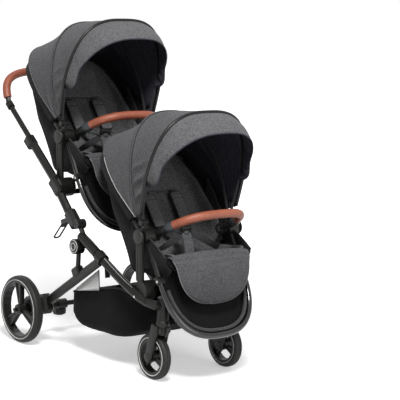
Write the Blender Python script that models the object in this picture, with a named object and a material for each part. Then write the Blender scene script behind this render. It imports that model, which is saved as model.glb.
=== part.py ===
"""A double pram: two seats one behind the other on one frame, with hoods, bumper bars and a basket.

Metres, +Z up, the pram drives towards -Y and its right side is -X. Heights start at the ground.
Side places are (y, z) pairs measured from a point on the ground under the rear axle, and the whole
pram is then moved so that the world's origin is under the middle of its length.
"""
import math

import bmesh
import bpy
from mathutils import Matrix, Vector

# Driving dimensions of the wheels
REAR_RADIUS = 0.125
WHEEL_OFFSET = 0.045
REAR_WIDTH = 0.036
FRONT_RADIUS = 0.080
FRONT_TRACK = 0.159
FRONT_WIDTH = 0.032
FRONT_AXLE_Y = -0.647
TRAIL = 0.040
TYRE_DEPTH = 0.0135
RIM_DEPTH = 0.012
HUB_RADIUS = 0.019
SPOKES = 3
REAR_PIN = 0.0070
FRONT_PIN = 0.0050
PIN_CLEARANCE = 0.0004

# Driving dimensions of the frame: half width of the side tubes and their places in side view
FRAME_HALF = 0.235
TUBE_RADIUS = 0.0156
SLEEVE_RADIUS = 0.0178
LEG_RADIUS = 0.0105
CROSS_RADIUS = 0.0095
CROSS_DROP = 0.035
HANDLE_TOP = (0.185, 0.8725)
SEAT_BEND = (-0.145, 0.613)
FOLD_AXIS = (-0.296, 0.488)
HUMP_RADIUS = 0.017
EAR_THICKNESS = 0.008
FOLD_PIN = 0.004
LEVER_AXIS = (-0.212, 0.484)
UPPER_END = (-0.268, 0.4775)
LOWER_START = (-0.304, 0.447)
KNEE = (-0.432, 0.388)
HEAD_TOP = 0.292
HEAD_BOTTOM = 0.2160
HEAD_RADIUS = 0.0205
LOCK_TAB = (0.012, 0.010, 0.034)
LOCK_REACH = 0.024
LEG_HEIGHT = 0.032
LEG_WIDTH = 0.020
BADGE = (-0.295, 0.408)
BADGE_RADIUS = 0.027
SLEEVE_LENGTH = 0.235
HANDLE_TRAVEL = 0.120
GRIP_RADIUS = 0.0155
GRIP_REACH = 0.128
GRIP_LEAN = math.radians(-25)

# Driving dimensions of a seat: side places are measured from its hub
FRONT_HUB = (-0.615, 0.492)
SEAT_PITCH = (0.490, 0.286)
HUB_DRUM_RADIUS = 0.027
SEAT_INSET = 0.052
DRUM_REACH = 0.0232
DRUM_DEPTH = 0.0412
BLADE_WIDTH = 0.034
EYE_RADIUS = 0.0175
TONGUE_WIDTH = 0.034
BLADE_THICKNESS = 0.012
BLADE_FOOT = (-0.010, -0.150)
MOUNT_CENTRE = (-0.024, -0.180)
MOUNT_RADIUS = 0.034
MOUNT_DEPTH = 0.0458
SEAT_TUBE = 0.0085
FOOT_JOINT = (-0.080, -0.141)
FOOT_TIP = (-0.188, -0.323)
FOOT_TUBE = 0.0110
CALF_TOP = (-0.132, -0.076)
CALF_TIP = (-0.163, -0.217)
CALF_INSET = 0.024
CALF_DEPTH = 0.022
SLING_INSET = 0.023
SLING_DEPTH = 0.006
CALF_HINGE = (-0.121, -0.075)
SLING_TOP = (-0.092, -0.160)
SLING_TIP = (-0.178, -0.306)
SEAT_EDGE = (-0.112, -0.064)
BIGHT = (0.052, -0.101)
BACK_TOP = (0.282, 0.250)
BACK_HOOP = (math.radians(-51), 0.400, 5.0)
LINER_OUTSET = 0.002
LINER_WALL = 0.018
LINER_THICKNESS = 0.038
HOOD_PIVOT = (0.008, 0.045)
HOOD_OUTSET = 0.039
HOOD_TOE = 0.06
HOOD_DRUM = 0.010
HOOD_CLOTH = 0.005
BOW_TUBE = 0.005
FRONT_BOW = (math.radians(12.4), 0.383, 3.0)
MID_BOW = (math.radians(-19.6), 0.381, 2.5)
REAR_HEM = (math.radians(-51.4), 0.420, 3.0)
HOOD_DIPS = (0.026, 0.012)
VISOR_FOOT = 0.118
VISOR = (math.radians(37.6), 0.250, 2.65)
VISOR_INSET = 0.022
BUMPER_INSET = 0.035
BUMPER_START = (-0.006, 0.003)
BUMPER_TIP = (-0.160, 0.086)
BUMPER_TUBE = 0.0145

# Widths that follow from the frame's half width
REAR_TRACK = FRAME_HALF + WHEEL_OFFSET
SEAT_HALF = FRAME_HALF - SEAT_INSET
DRUM_OUTER = SEAT_HALF + DRUM_REACH
DRUM_INNER = DRUM_OUTER - DRUM_DEPTH
LINER_HALF = SEAT_HALF + LINER_OUTSET
HOOD_HALF = SEAT_HALF + HOOD_OUTSET
VISOR_HALF = HOOD_HALF - VISOR_INSET
BUMPER_HALF = SEAT_HALF - BUMPER_INSET

# Basket, as (y, gap to the side tube's centre line, lowest z, highest z) from back to front
BASKET_CLOTH = 0.004
BASKET_OPENING = 0.030
BASKET = (
    (-0.206, 0.045, 0.124, 0.222),
    (-0.250, 0.035, 0.102, 0.236),
    (-0.380, 0.031, 0.102, 0.272),
    (-0.480, 0.031, 0.110, 0.290),
    (-0.566, 0.059, 0.144, 0.262),
    (-0.634, 0.115, 0.180, 0.236),
)

# Clearances
GAP = 0.0003
RUNNING = 0.0006

BLACK = (0.020, 0.020, 0.021, 1)
PLASTIC = (0.026, 0.026, 0.028, 1)
GLOSS = (0.012, 0.012, 0.013, 1)
TYRE = (0.030, 0.030, 0.029, 1)
CHARCOAL = (0.085, 0.085, 0.088, 1)
DARK_CLOTH = (0.040, 0.040, 0.042, 1)
BASKET_BLACK = (0.012, 0.012, 0.013, 1)
LEATHER = (0.330, 0.110, 0.060, 1)

SIDES = (("right", -1), ("left", 1))

for old in list(bpy.data.objects):
    bpy.data.objects.remove(old, do_unlink=True)
pram = bpy.data.collections.new("double_pram")
bpy.context.scene.collection.children.link(pram)
origin = bpy.data.objects.new("pram_origin", None)
pram.objects.link(origin)
materials = {}


def material(name, colour, roughness, metallic=0.0):
    """One Principled material for each finish, made once."""
    if name not in materials:
        made = bpy.data.materials.new(name)
        made.use_nodes = True
        shader = made.node_tree.nodes["Principled BSDF"]
        shader.inputs["Base Color"].default_value = colour
        shader.inputs["Roughness"].default_value = roughness
        shader.inputs["Metallic"].default_value = metallic
        materials[name] = made
    return materials[name]


def frame_black():
    return material("frame_black", BLACK, 0.45, 0.6)


def moulded():
    return material("moulded_black", PLASTIC, 0.55)


# Small modelling helpers

def from_bmesh(name, bm, smooth=40):
    """A mesh object from a bmesh, shaded smooth up to the given angle."""
    bmesh.ops.recalc_face_normals(bm, faces=bm.faces)
    if bm.calc_volume(signed=True) < 0:
        bmesh.ops.reverse_faces(bm, faces=bm.faces)
    mesh = bpy.data.meshes.new(name)
    bm.to_mesh(mesh)
    bm.free()
    mesh.shade_smooth()
    mesh.set_sharp_from_angle(angle=math.radians(smooth))
    made = bpy.data.objects.new(name, mesh)
    pram.objects.link(made)
    return made


def baked(made):
    """Replace an object's data by the mesh that its modifiers or curve settings give."""
    bpy.context.view_layer.update()
    graph = bpy.context.evaluated_depsgraph_get()
    mesh = bpy.data.meshes.new_from_object(made.evaluated_get(graph))
    bm = bmesh.new()
    bm.from_mesh(mesh)
    bmesh.ops.remove_doubles(bm, verts=bm.verts, dist=0.00002)
    bm.transform(made.matrix_world)
    name = made.name
    bpy.data.objects.remove(made, do_unlink=True)
    return from_bmesh(name, bm)


def combine(base, others, operation):
    """Union with, or difference from, each of the other objects, which are used up."""
    for other in others:
        step = base.modifiers.new("step", "BOOLEAN")
        step.operation = operation
        step.solver = "EXACT"
        step.object = other
        base = baked(base)
        bpy.data.objects.remove(other, do_unlink=True)
    return base


def join(base, *others):
    return combine(base, others, "UNION")


def cut(base, *others):
    return combine(base, others, "DIFFERENCE")


def finish(made, name, finish_material):
    """Name a finished piece, give it its material and hang it on the pram's origin."""
    made.name = name
    made.data.name = name
    made.data.materials.clear()
    made.data.materials.append(finish_material)
    made.parent = origin
    return made


def rod(radius, start, end, sides=12, end_radius=None):
    """A round bar from one point to another."""
    start = Vector(start)
    along = Vector(end) - start
    bm = bmesh.new()
    tip = radius if end_radius is None else end_radius
    bmesh.ops.create_cone(bm, cap_ends=True, segments=sides, radius1=radius, radius2=tip, depth=along.length)
    turn = Vector((0, 0, 1)).rotation_difference(along).to_matrix().to_4x4()
    bm.transform(Matrix.Translation(start + along / 2) @ turn)
    return from_bmesh("rod", bm)


def block(size, centre, slope=0.0, bevel=0.0, segments=1):
    """A box with rounded edges, turned about X by the slope."""
    bm = bmesh.new()
    bmesh.ops.create_cube(bm, size=1)
    bmesh.ops.scale(bm, vec=size, verts=bm.verts)
    if bevel:
        bmesh.ops.bevel(bm, geom=bm.edges, offset=bevel, segments=segments, affect="EDGES", profile=0.5,
                        material=-1)
    bm.transform(Matrix.Translation(centre) @ Matrix.Rotation(slope, 4, "X"))
    return from_bmesh("block", bm)


def bar(x, start, end, width, height, bevel):
    """A rounded bar in a side plane, from one (y, z) place to another."""
    run = Vector((end[0] - start[0], end[1] - start[1]))
    slope = math.atan2(run.y, run.x)
    centre = (x, (start[0] + end[0]) / 2, (start[1] + end[1]) / 2)
    return block((width, run.length, height), centre, slope, bevel)


def tube(points, radius, resolution=2, cyclic=False):
    """A bent tube through the points, as a closed mesh."""
    curve = bpy.data.curves.new("tube", "CURVE")
    curve.dimensions = "3D"
    curve.bevel_depth = radius
    curve.bevel_resolution = resolution
    curve.use_fill_caps = True
    spline = curve.splines.new("POLY")
    spline.points.add(len(points) - 1)
    for point, place in zip(spline.points, points):
        point.co = (*place, 1)
    spline.use_cyclic_u = cyclic
    made = bpy.data.objects.new("tube", curve)
    pram.objects.link(made)
    return baked(made)


def loft(rings):
    """A closed solid through rings that have equally many points."""
    bm = bmesh.new()
    rows = [[bm.verts.new(point) for point in ring] for ring in rings]
    count = len(rows[0])
    for low, high in zip(rows, rows[1:]):
        for index in range(count):
            after = (index + 1) % count
            bm.faces.new((low[index], low[after], high[after], high[index]))
    bm.faces.new(rows[0])
    bm.faces.new(rows[-1])
    return from_bmesh("loft", bm)


def lathe(profile, centre, axis_turn, sides):
    """A turned ring: the profile is (radius, height) pairs from top to bottom of its outside."""
    bm = bmesh.new()
    ring = [bm.verts.new((radius, 0, height)) for radius, height in profile]
    for first, second in zip(ring, ring[1:] + ring[:1]):
        bm.edges.new((first, second))
    bmesh.ops.spin(bm, geom=bm.verts[:] + bm.edges[:], axis=(0, 0, 1), cent=(0, 0, 0), dvec=(0, 0, 0),
                   angle=math.tau, steps=sides, use_merge=True)
    bm.transform(Matrix.Translation(centre) @ axis_turn)
    return from_bmesh("lathe", bm)


def even(points, count, first=0.0, last=1.0):
    """Equally spaced points along a line of points, between two shares of its length."""
    points = [Vector(point) for point in points]
    lengths = [0.0]
    for before, after in zip(points, points[1:]):
        lengths.append(lengths[-1] + (after - before).length)
    picked = []
    for index in range(count):
        goal = lengths[-1] * (first + (last - first) * index / (count - 1))
        leg = max(i for i in range(len(points) - 1) if lengths[i] <= goal + 1e-9)
        share = (goal - lengths[leg]) / max(lengths[leg + 1] - lengths[leg], 1e-9)
        picked.append(points[leg].lerp(points[leg + 1], min(share, 1.0)))
    return picked


def hoop(base, half, lean, reach, power, count=17, first=0.0, last=1.0, toe=0.0):
    """A rounded U from -half to +half: lean is its angle from straight up towards the front.

    toe draws its two feet inwards, as a share of the half width.
    """
    fine = []
    for index in range(121):
        turn = math.pi * index / 120
        across = -half * math.copysign(abs(math.cos(turn)) ** (2 / power), math.cos(turn))
        along = reach * abs(math.sin(turn)) ** (2 / power)
        across *= 1 - toe * max(0.0, 1 - along / 0.16)
        fine.append((across, base[0] - along * math.sin(lean), base[1] + along * math.cos(lean)))
    return even(fine, count, first, last)


def mix(low, high, share):
    return low + (high - low) * share


def along_line(start, end, share):
    return tuple(mix(a, b, share) for a, b in zip(start, end))


def lean_of(start, end):
    """Lean and length of the run from one side place to another."""
    run = (end[0] - start[0], end[1] - start[1])
    return math.atan2(-run[0], run[1]), math.hypot(*run)


X_AXLE = Matrix.Rotation(math.radians(90), 4, "Y")


# The frame

HANDLE_RUN = Vector((HANDLE_TOP[0] - SEAT_BEND[0], HANDLE_TOP[1] - SEAT_BEND[1])).normalized()
HANDLE_NORMAL = Vector((-HANDLE_RUN.y, HANDLE_RUN.x))
SLEEVE_TOP = (SEAT_BEND[0] + HANDLE_RUN.x * SLEEVE_LENGTH, SEAT_BEND[1] + HANDLE_RUN.y * SLEEVE_LENGTH)
SWIVEL_Y = FRONT_AXLE_Y - TRAIL
HEAD_X = FRONT_TRACK
REAR_HUB = (FRONT_HUB[0] + SEAT_PITCH[0], FRONT_HUB[1] + SEAT_PITCH[1])
BLADE_X = DRUM_OUTER + 2 * GAP + BLADE_THICKNESS / 2
MOUNT_OUTER = BLADE_X + BLADE_THICKNESS / 2 + 0.003
MOUNT_INNER = MOUNT_OUTER - MOUNT_DEPTH


def on_side(side, x, place):
    return (side * x, place[0], place[1])


def seat_place(hub, place):
    return (hub[0] + place[0], hub[1] + place[1])


def grown(path, extra=0.03):
    """The same path, longer at both ends, for a cutter that must not end level with its tube."""
    points = [Vector(point) for point in path]
    points[0] += (points[0] - points[1]).normalized() * extra
    points[-1] += (points[-1] - points[-2]).normalized() * extra
    return points


def lower_path(side):
    """Centre line of a lower side tube, from the fold joint to the head of the front wheel."""
    head = (SWIVEL_Y, HEAD_TOP - 0.030)
    return [
        on_side(side, FRAME_HALF, LOWER_START),
        on_side(side, FRAME_HALF, (-0.350, 0.430)),
        on_side(side, FRAME_HALF, KNEE),
        on_side(side, FRAME_HALF, (-0.500, 0.356)),
        on_side(side, FRAME_HALF - 0.003, (-0.563, 0.325)),
        on_side(side, FRAME_HALF - 0.012, (-0.636, 0.290)),
        on_side(side, FRAME_HALF - 0.024, (-0.664, 0.277)),
        on_side(side, FRAME_HALF - 0.045, (-0.682, 0.267)),
        on_side(side, HEAD_X, head),
    ]


def seat_mount(side, hub, outer, anchor=None):
    """The socket that holds a seat's blade: a drum inboard of the tube, with an arm where it needs one."""
    centre = seat_place(hub, MOUNT_CENTRE)
    made = rod(MOUNT_RADIUS, on_side(side, MOUNT_INNER, centre), on_side(side, outer, centre), 18)
    if anchor:
        arm = bar(side * (MOUNT_INNER + outer) / 2, centre, anchor, outer - MOUNT_INNER, 0.026, 0.004)
        made = join(made, arm)
    return made


def blade_slot(side, hub):
    """Cutter for the slot that a blade's tongue stands in, open at the top."""
    foot = seat_place(hub, BLADE_FOOT)
    end = seat_place(hub, MOUNT_CENTRE)
    above = along_line(end, foot, 3.0)
    below = along_line(end, foot, -GAP / math.hypot(foot[0] - end[0], foot[1] - end[1]))
    return bar(side * BLADE_X, below, above, BLADE_THICKNESS + 2 * GAP, TONGUE_WIDTH + 2 * GAP, 0)


def side_tube(side):
    """Lower side tube with its head for the swivel, and the mount of the front seat."""
    path = lower_path(side)
    made = tube(path, TUBE_RADIUS)
    head = rod(HEAD_RADIUS, (side * HEAD_X, SWIVEL_Y, HEAD_BOTTOM), (side * HEAD_X, SWIVEL_Y, HEAD_TOP), 18)
    mount = seat_mount(side, FRONT_HUB, MOUNT_OUTER, (-0.585, 0.318))
    x = side * FRAME_HALF
    ear = bar(x, (-0.326, 0.440), FOLD_AXIS, EAR_THICKNESS, 0.020, 0)
    eye = rod(0.011, (x - EAR_THICKNESS / 2, *FOLD_AXIS), (x + EAR_THICKNESS / 2, *FOLD_AXIS), 16)
    pin = rod(FOLD_PIN, (x - 0.017, *FOLD_AXIS), (x + 0.017, *FOLD_AXIS), 16)
    sleeve = rod(SLEEVE_RADIUS, on_side(side, FRAME_HALF, along_line(LOWER_START, KNEE, 0.04)),
                 on_side(side, FRAME_HALF, along_line(LOWER_START, KNEE, 0.80)), 14)
    made = join(made, head, mount, ear, eye, pin, sleeve)
    stem_hole = rod(FRONT_PIN + RUNNING, (side * HEAD_X, SWIVEL_Y, HEAD_BOTTOM - 0.01),
                    (side * HEAD_X, SWIVEL_Y, HEAD_BOTTOM + 0.046), 16)
    return cut(made, stem_hole, blade_slot(side, FRONT_HUB))


def leg_points():
    top = (KNEE[0] + 0.008, KNEE[1] - 0.010)
    return top, (-0.090, 0.160)


def rear_leg(side):
    """Rear leg with its clamp round the side tube, the wheel housing and the stub axle."""
    top, foot = leg_points()
    x = side * FRAME_HALF
    leg = bar(x, top, foot, LEG_WIDTH, LEG_HEIGHT, 0.006)
    path = [Vector(point) for point in lower_path(side)]
    along = (path[2] - path[1]).normalized()
    clamp = rod(TUBE_RADIUS + 0.006, path[2] - along * 0.020, path[2] + along * 0.014, 18)
    housing = bar(x, (-0.118, 0.166), (0.028, 0.124), 0.050, 0.074, 0.014)
    pin = rod(REAR_PIN, (x, 0, REAR_RADIUS), (side * (REAR_TRACK + 0.034), 0, REAR_RADIUS), 20)
    made = join(leg, clamp, housing, pin)
    return cut(made, tube(grown(lower_path(side), 0.010), TUBE_RADIUS + GAP))


def strut(side):
    """Brace from the round plate under the fold joint to a bracket on the rear leg."""
    x = side * FRAME_HALF
    top, foot = leg_points()
    share = (BADGE[0] + 0.004 - top[0]) / (foot[0] - top[0])
    on_leg = along_line(top, foot, share)
    rest = (on_leg[0], on_leg[1] + LEG_HEIGHT / 2 + 0.010)
    plate = rod(BADGE_RADIUS, (x - side * 0.008, *BADGE), (x + side * 0.024, *BADGE), 20)
    brace = rod(0.0085, (x, BADGE[0], BADGE[1] - 0.010), (x, *rest), 16)
    bracket = bar(x, (rest[0] - 0.018, rest[1] + 0.010), (rest[0] + 0.018, rest[1] - 0.012), 0.030, 0.034, 0.005)
    lug = bar(x, BADGE, (BADGE[0] - 0.030, BADGE[1] + 0.026), 0.012, 0.030, 0.003)
    made = join(plate, brace, bracket, lug)
    clear_leg = bar(x, top, foot, LEG_WIDTH + 2 * GAP, LEG_HEIGHT + 2 * GAP, 0)
    beside_sleeve = rod(SLEEVE_RADIUS + GAP, on_side(side, FRAME_HALF, along_line(LOWER_START, KNEE, -0.06)),
                        on_side(side, FRAME_HALF, along_line(LOWER_START, KNEE, 0.90)), 14)
    return cut(made, tube(grown(lower_path(side), 0.010), TUBE_RADIUS + GAP), beside_sleeve, clear_leg)


def upper_path(side):
    """Centre line of an upper side tube, from its open top down to the fold joint."""
    return [
        on_side(side, FRAME_HALF, SLEEVE_TOP),
        on_side(side, FRAME_HALF, SEAT_BEND),
        on_side(side, FRAME_HALF, (SEAT_BEND[0] - 0.014, SEAT_BEND[1] - 0.024)),
        on_side(side, FRAME_HALF, UPPER_END),
    ]


def sleeve_bore(side):
    """Cutter for the bore that the handle leg slides in."""
    low = (SLEEVE_TOP[0] - HANDLE_RUN.x * (SLEEVE_LENGTH - 0.012), SLEEVE_TOP[1] - HANDLE_RUN.y * (SLEEVE_LENGTH - 0.012))
    high = (SLEEVE_TOP[0] + HANDLE_RUN.x * 0.05, SLEEVE_TOP[1] + HANDLE_RUN.y * 0.05)
    return rod(LEG_RADIUS + RUNNING, on_side(side, FRAME_HALF, low), on_side(side, FRAME_HALF, high), 16)


ADJUSTER = (SLEEVE_TOP[0] - HANDLE_RUN.x * 0.018, SLEEVE_TOP[1] - HANDLE_RUN.y * 0.018)
BUTTON_SIZE = (0.012, 0.022, 0.012)
BUTTON_FACE = 0.031


def button_centre():
    return (ADJUSTER[0] - HANDLE_NORMAL.x * (BUTTON_FACE - BUTTON_SIZE[2] / 2),
            ADJUSTER[1] - HANDLE_NORMAL.y * (BUTTON_FACE - BUTTON_SIZE[2] / 2))


def upper_tube(side):
    """Upper side tube with the handle's adjuster housing and the mount of the rear seat."""
    x = side * FRAME_HALF
    slope = math.atan2(HANDLE_RUN.y, HANDLE_RUN.x)
    made = tube(upper_path(side), TUBE_RADIUS)
    housing = block((0.036, 0.052, 0.042), (x, ADJUSTER[0] - HANDLE_NORMAL.x * 0.0065, ADJUSTER[1] - HANDLE_NORMAL.y * 0.0065),
                    slope, 0.008)
    saddle = bar(x, (SEAT_BEND[0] + 0.026, SEAT_BEND[1] + 0.012), (SEAT_BEND[0] - 0.034, SEAT_BEND[1] - 0.034), 0.034, 0.046, 0.008)
    mount = seat_mount(side, REAR_HUB, FRAME_HALF)
    made = join(made, housing, saddle, mount)
    centre = button_centre()
    pocket = block((BUTTON_SIZE[0] + 2 * RUNNING, BUTTON_SIZE[1] + 2 * RUNNING, BUTTON_SIZE[2]),
                   (x, centre[0], centre[1]), slope)
    return cut(made, sleeve_bore(side), pocket, blade_slot(side, REAR_HUB))


def adjuster_button(side):
    """The button that frees the handle: it stands out of its pocket by its own travel."""
    centre = button_centre()
    out = -HANDLE_NORMAL * 0.0034
    slope = math.atan2(HANDLE_RUN.y, HANDLE_RUN.x)
    size = (BUTTON_SIZE[0], BUTTON_SIZE[1], BUTTON_SIZE[2] - 0.001)
    return block(size, (side * FRAME_HALF, centre[0] + out.x, centre[1] + out.y), slope, 0.0015)


def fold_housing(side):
    """Cover of the fold joint, round the upper tube's lower end."""
    x = side * FRAME_HALF
    body = bar(x, (-0.226, 0.526), (-0.284, 0.472), 0.040, 0.048, 0.012)
    cheeks = [bar(x + turn * 0.0182, (LEVER_AXIS[0] + 0.005, LEVER_AXIS[1] - 0.002), (-0.262, 0.503), 0.0035, 0.016, 0)
              for turn in (-1, 1)]
    hump = rod(HUMP_RADIUS, (x - 0.0175, *FOLD_AXIS), (x + 0.0175, *FOLD_AXIS), 20)
    slot = bar(x, (-0.330, 0.420), FOLD_AXIS, EAR_THICKNESS + 2 * RUNNING, 0.044, 0)
    eye = rod(0.014, (x - EAR_THICKNESS / 2 - RUNNING, *FOLD_AXIS), (x + EAR_THICKNESS / 2 + RUNNING, *FOLD_AXIS), 16)
    bore = rod(FOLD_PIN + PIN_CLEARANCE, (x - 0.02, *FOLD_AXIS), (x + 0.02, *FOLD_AXIS), 16)
    path = upper_path(side)
    low = along_line(path[2], path[3], 1.3)
    high = along_line(path[2], path[3], -0.2)
    return cut(join(body, hump, *cheeks), rod(TUBE_RADIUS + GAP, low, high, 18), slot, eye, bore)


def fold_lever(side):
    """Stirrup that is pulled to free the fold: a loop of flat bar on a short barrel."""
    x = side * FRAME_HALF
    start = Vector(LEVER_AXIS)
    run = Vector((0.062, -0.070)).normalized()
    loop = []
    for across, along in ((-0.012, 0.010), (-0.012, 0.086), (-0.007, 0.092), (0.007, 0.092), (0.012, 0.086), (0.012, 0.010)):
        loop.append((x + across, start.x + run.x * along, start.y + run.y * along))
    made = tube(loop, 0.0036, 1, cyclic=True)
    barrel = rod(0.0065, (x - 0.016, *start), (x + 0.016, *start), 14)
    neck = bar(x, tuple(start), (start.x + run.x * 0.03, start.y + run.y * 0.03), 0.024, 0.006, 0.001)
    return join(made, barrel, neck)


def handle_hoop(count, first=0.0, last=1.0):
    return hoop(HANDLE_TOP, FRAME_HALF, GRIP_LEAN, GRIP_REACH, 3.6, count, first, last)


def handle_bar():
    """The push bar: two legs that slide in the side tubes and the bent bar between them."""
    inner_end = (SLEEVE_TOP[0] - HANDLE_RUN.x * (SLEEVE_LENGTH - 0.018), SLEEVE_TOP[1] - HANDLE_RUN.y * (SLEEVE_LENGTH - 0.018))
    arch = handle_hoop(15)
    path = [on_side(-1, FRAME_HALF, inner_end)] + arch + [on_side(1, FRAME_HALF, inner_end)]
    made = tube(path, LEG_RADIUS)
    collars = []
    for name, side in SIDES:
        low = (HANDLE_TOP[0] - HANDLE_RUN.x * 0.024, HANDLE_TOP[1] - HANDLE_RUN.y * 0.024)
        collars.append(rod(0.0145, on_side(side, FRAME_HALF, low), on_side(side, FRAME_HALF, HANDLE_TOP), 20))
    return join(made, *collars)


def handle_grip():
    """Leather sleeve round the push bar, from collar to collar."""
    sleeve = tube(handle_hoop(15, 0.035, 0.965), GRIP_RADIUS)
    arch = handle_hoop(15)
    inner_end = (SLEEVE_TOP[0], SLEEVE_TOP[1])
    core = tube([on_side(-1, FRAME_HALF, inner_end)] + arch + [on_side(1, FRAME_HALF, inner_end)], LEG_RADIUS + GAP)
    return cut(sleeve, core)


def cross_tube(radius, half, place):
    return rod(radius, (-half, *place), (half, *place), 20)


def brake_pedal():
    """Brake drum round the rear axle tube, with the round knob that the foot presses."""
    drum = rod(0.019, (-0.122, 0, REAR_RADIUS), (-0.084, 0, REAR_RADIUS), 18)
    knob = block((0.044, 0.046, 0.036), (-0.103, 0.012, REAR_RADIUS - 0.028), math.radians(-8), 0.013, 2)
    made = join(drum, knob)
    return cut(made, rod(CROSS_RADIUS + RUNNING, (-0.14, 0, REAR_RADIUS), (-0.06, 0, REAR_RADIUS), 20))


# Wheels

def tyre(radius, width, centre):
    half = width / 2
    inner = radius - TYRE_DEPTH
    profile = [
        (inner, half), (radius - 0.005, half), (radius, half * 0.42),
        (radius, -half * 0.42), (radius - 0.005, -half), (inner, -half),
    ]
    return lathe(profile, centre, X_AXLE, 24)


def rim(radius, width, centre, hub_half, pin):
    """Rim ring, spokes in pairs, and hub, in one moulding with a bore for the axle."""
    outer = radius - TYRE_DEPTH - GAP
    half = width / 2 - 0.001
    inner = outer - RIM_DEPTH
    ring = lathe([(inner, half), (outer, half), (outer, -half), (inner, -half)], centre, X_AXLE, 24)
    hub = rod(HUB_RADIUS, (centre[0] - hub_half, centre[1], centre[2]), (centre[0] + hub_half, centre[1], centre[2]), 18)
    made = join(ring, hub)
    for index in range(SPOKES):
        middle = math.radians(80) + math.tau * index / SPOKES
        for offset in (-0.16, 0.16):
            low = (centre[1] + HUB_RADIUS * 0.6 * math.cos(middle + offset), centre[2] + HUB_RADIUS * 0.6 * math.sin(middle + offset))
            high = (centre[1] + (outer - 0.004) * math.cos(middle + offset), centre[2] + (outer - 0.004) * math.sin(middle + offset))
            made = join(made, bar(centre[0], low, high, width * 0.50, 0.0075, 0))
    bore = rod(pin + PIN_CLEARANCE, (centre[0] - hub_half - 0.01, centre[1], centre[2]),
               (centre[0] + hub_half + 0.01, centre[1], centre[2]), 20)
    return cut(made, bore)


FRONT_HUB_HALF = 0.017
ARM_THICKNESS = 0.0065
ARM_INNER = FRONT_HUB_HALF + 0.0012


def front_fork(side):
    """Swivel fork: crown and stem, an arm each side of the wheel, the axle pin and the lock tab."""
    x = side * HEAD_X
    crown_low = 2 * FRONT_RADIUS + 0.006
    crown = rod(HEAD_RADIUS, (x, SWIVEL_Y, crown_low), (x, SWIVEL_Y, HEAD_BOTTOM - RUNNING), 18)
    stem = rod(FRONT_PIN, (x, SWIVEL_Y, HEAD_BOTTOM - 0.01), (x, SWIVEL_Y, HEAD_BOTTOM + 0.040), 16)
    arm_x = ARM_INNER + ARM_THICKNESS / 2
    bridge = block((2 * arm_x + ARM_THICKNESS, 0.056, 0.022), (x, SWIVEL_Y + 0.010, crown_low + 0.011), math.radians(-8), 0.005)
    made = join(crown, stem, bridge)
    for turn in (-1, 1):
        arm = bar(x + turn * arm_x, (SWIVEL_Y + 0.012, crown_low + 0.012), (FRONT_AXLE_Y, FRONT_RADIUS), ARM_THICKNESS, 0.026, 0)
        boss = rod(0.0135, (x + turn * ARM_INNER, FRONT_AXLE_Y, FRONT_RADIUS),
                   (x + turn * (ARM_INNER + ARM_THICKNESS + 0.001), FRONT_AXLE_Y, FRONT_RADIUS), 20)
        made = join(made, arm, boss)
    pin = rod(FRONT_PIN, (x - ARM_INNER - 0.002, FRONT_AXLE_Y, FRONT_RADIUS), (x + ARM_INNER + 0.002, FRONT_AXLE_Y, FRONT_RADIUS), 16)
    tab = block(LOCK_TAB, (x, SWIVEL_Y - LOCK_REACH, crown_low + 0.012), math.radians(14))
    return join(made, pin, tab)


# The basket

def basket_ring(row, inset, rise):
    """One cross-section of the basket, going round from the right rim to the left rim."""
    y, gap, low, high = row
    half = FRAME_HALF - gap - inset
    low = low + inset
    corner = 0.22 * (high - low)
    points = [(-half, high + rise), (-half, low + corner), (-half + 0.4 * corner, low + 0.35 * corner), (-half + corner, low)]
    ring = [(x, y, z) for x, z in points]
    return ring + [(-x, y, z) for x, y, z in reversed(ring)]


def basket():
    """Open cloth basket: an outer skin with the inside cut out."""
    outer = loft([basket_ring(row, 0, 0) for row in BASKET])
    rows = [list(row) for row in BASKET]
    rows[0][0] -= BASKET_CLOTH
    rows[-1][0] += BASKET_CLOTH
    inner = loft([basket_ring(row, BASKET_CLOTH, BASKET_OPENING) for row in rows])
    return cut(outer, inner)


# A seat

def seat_bracket(side, hub):
    """Flat blade from the mount on the frame up to the seat's hub."""
    x = side * BLADE_X
    foot = seat_place(hub, BLADE_FOOT)
    eye = rod(EYE_RADIUS, (x - side * BLADE_THICKNESS / 2, *hub), (x + side * BLADE_THICKNESS / 2, *hub), 18)
    blade = bar(x, hub, foot, BLADE_THICKNESS, BLADE_WIDTH, 0.002)
    tongue = bar(x, foot, seat_place(hub, MOUNT_CENTRE), BLADE_THICKNESS, TONGUE_WIDTH, 0.002)
    return join(eye, blade, tongue)


def seat_frame(hub):
    """Hub drums, the bent tube round the backrest, and the tubes down to the footrest joints."""
    lean, reach, power = BACK_HOOP
    back = tube(hoop(hub, DRUM_OUTER - 0.012, lean, reach, power, 17), SEAT_TUBE, 1)
    joint = seat_place(hub, FOOT_JOINT)
    lean, length = lean_of(hub, joint)
    end = along_line(hub, joint, 1 - (KNUCKLE_RADIUS + 0.001) / length)
    made = back
    for name, side in SIDES:
        drum = rod(HUB_DRUM_RADIUS, on_side(side, DRUM_INNER, hub), on_side(side, DRUM_OUTER, hub), 20)
        leg = tube([on_side(side, SEAT_HALF, hub), on_side(side, SEAT_HALF, end)], SEAT_TUBE)
        pivot = seat_place(hub, HOOD_PIVOT)
        lug = bar(side * (SEAT_HALF + 0.009), hub, pivot, 0.012, 0.018, 0)
        drum_for_hood = rod(HOOD_DRUM, on_side(side, SEAT_HALF - 0.005, pivot), on_side(side, SEAT_HALF + 0.024, pivot), 16)
        made = join(made, drum, leg, lug, drum_for_hood)
    return made


KNUCKLE_RADIUS = 0.0135


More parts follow.
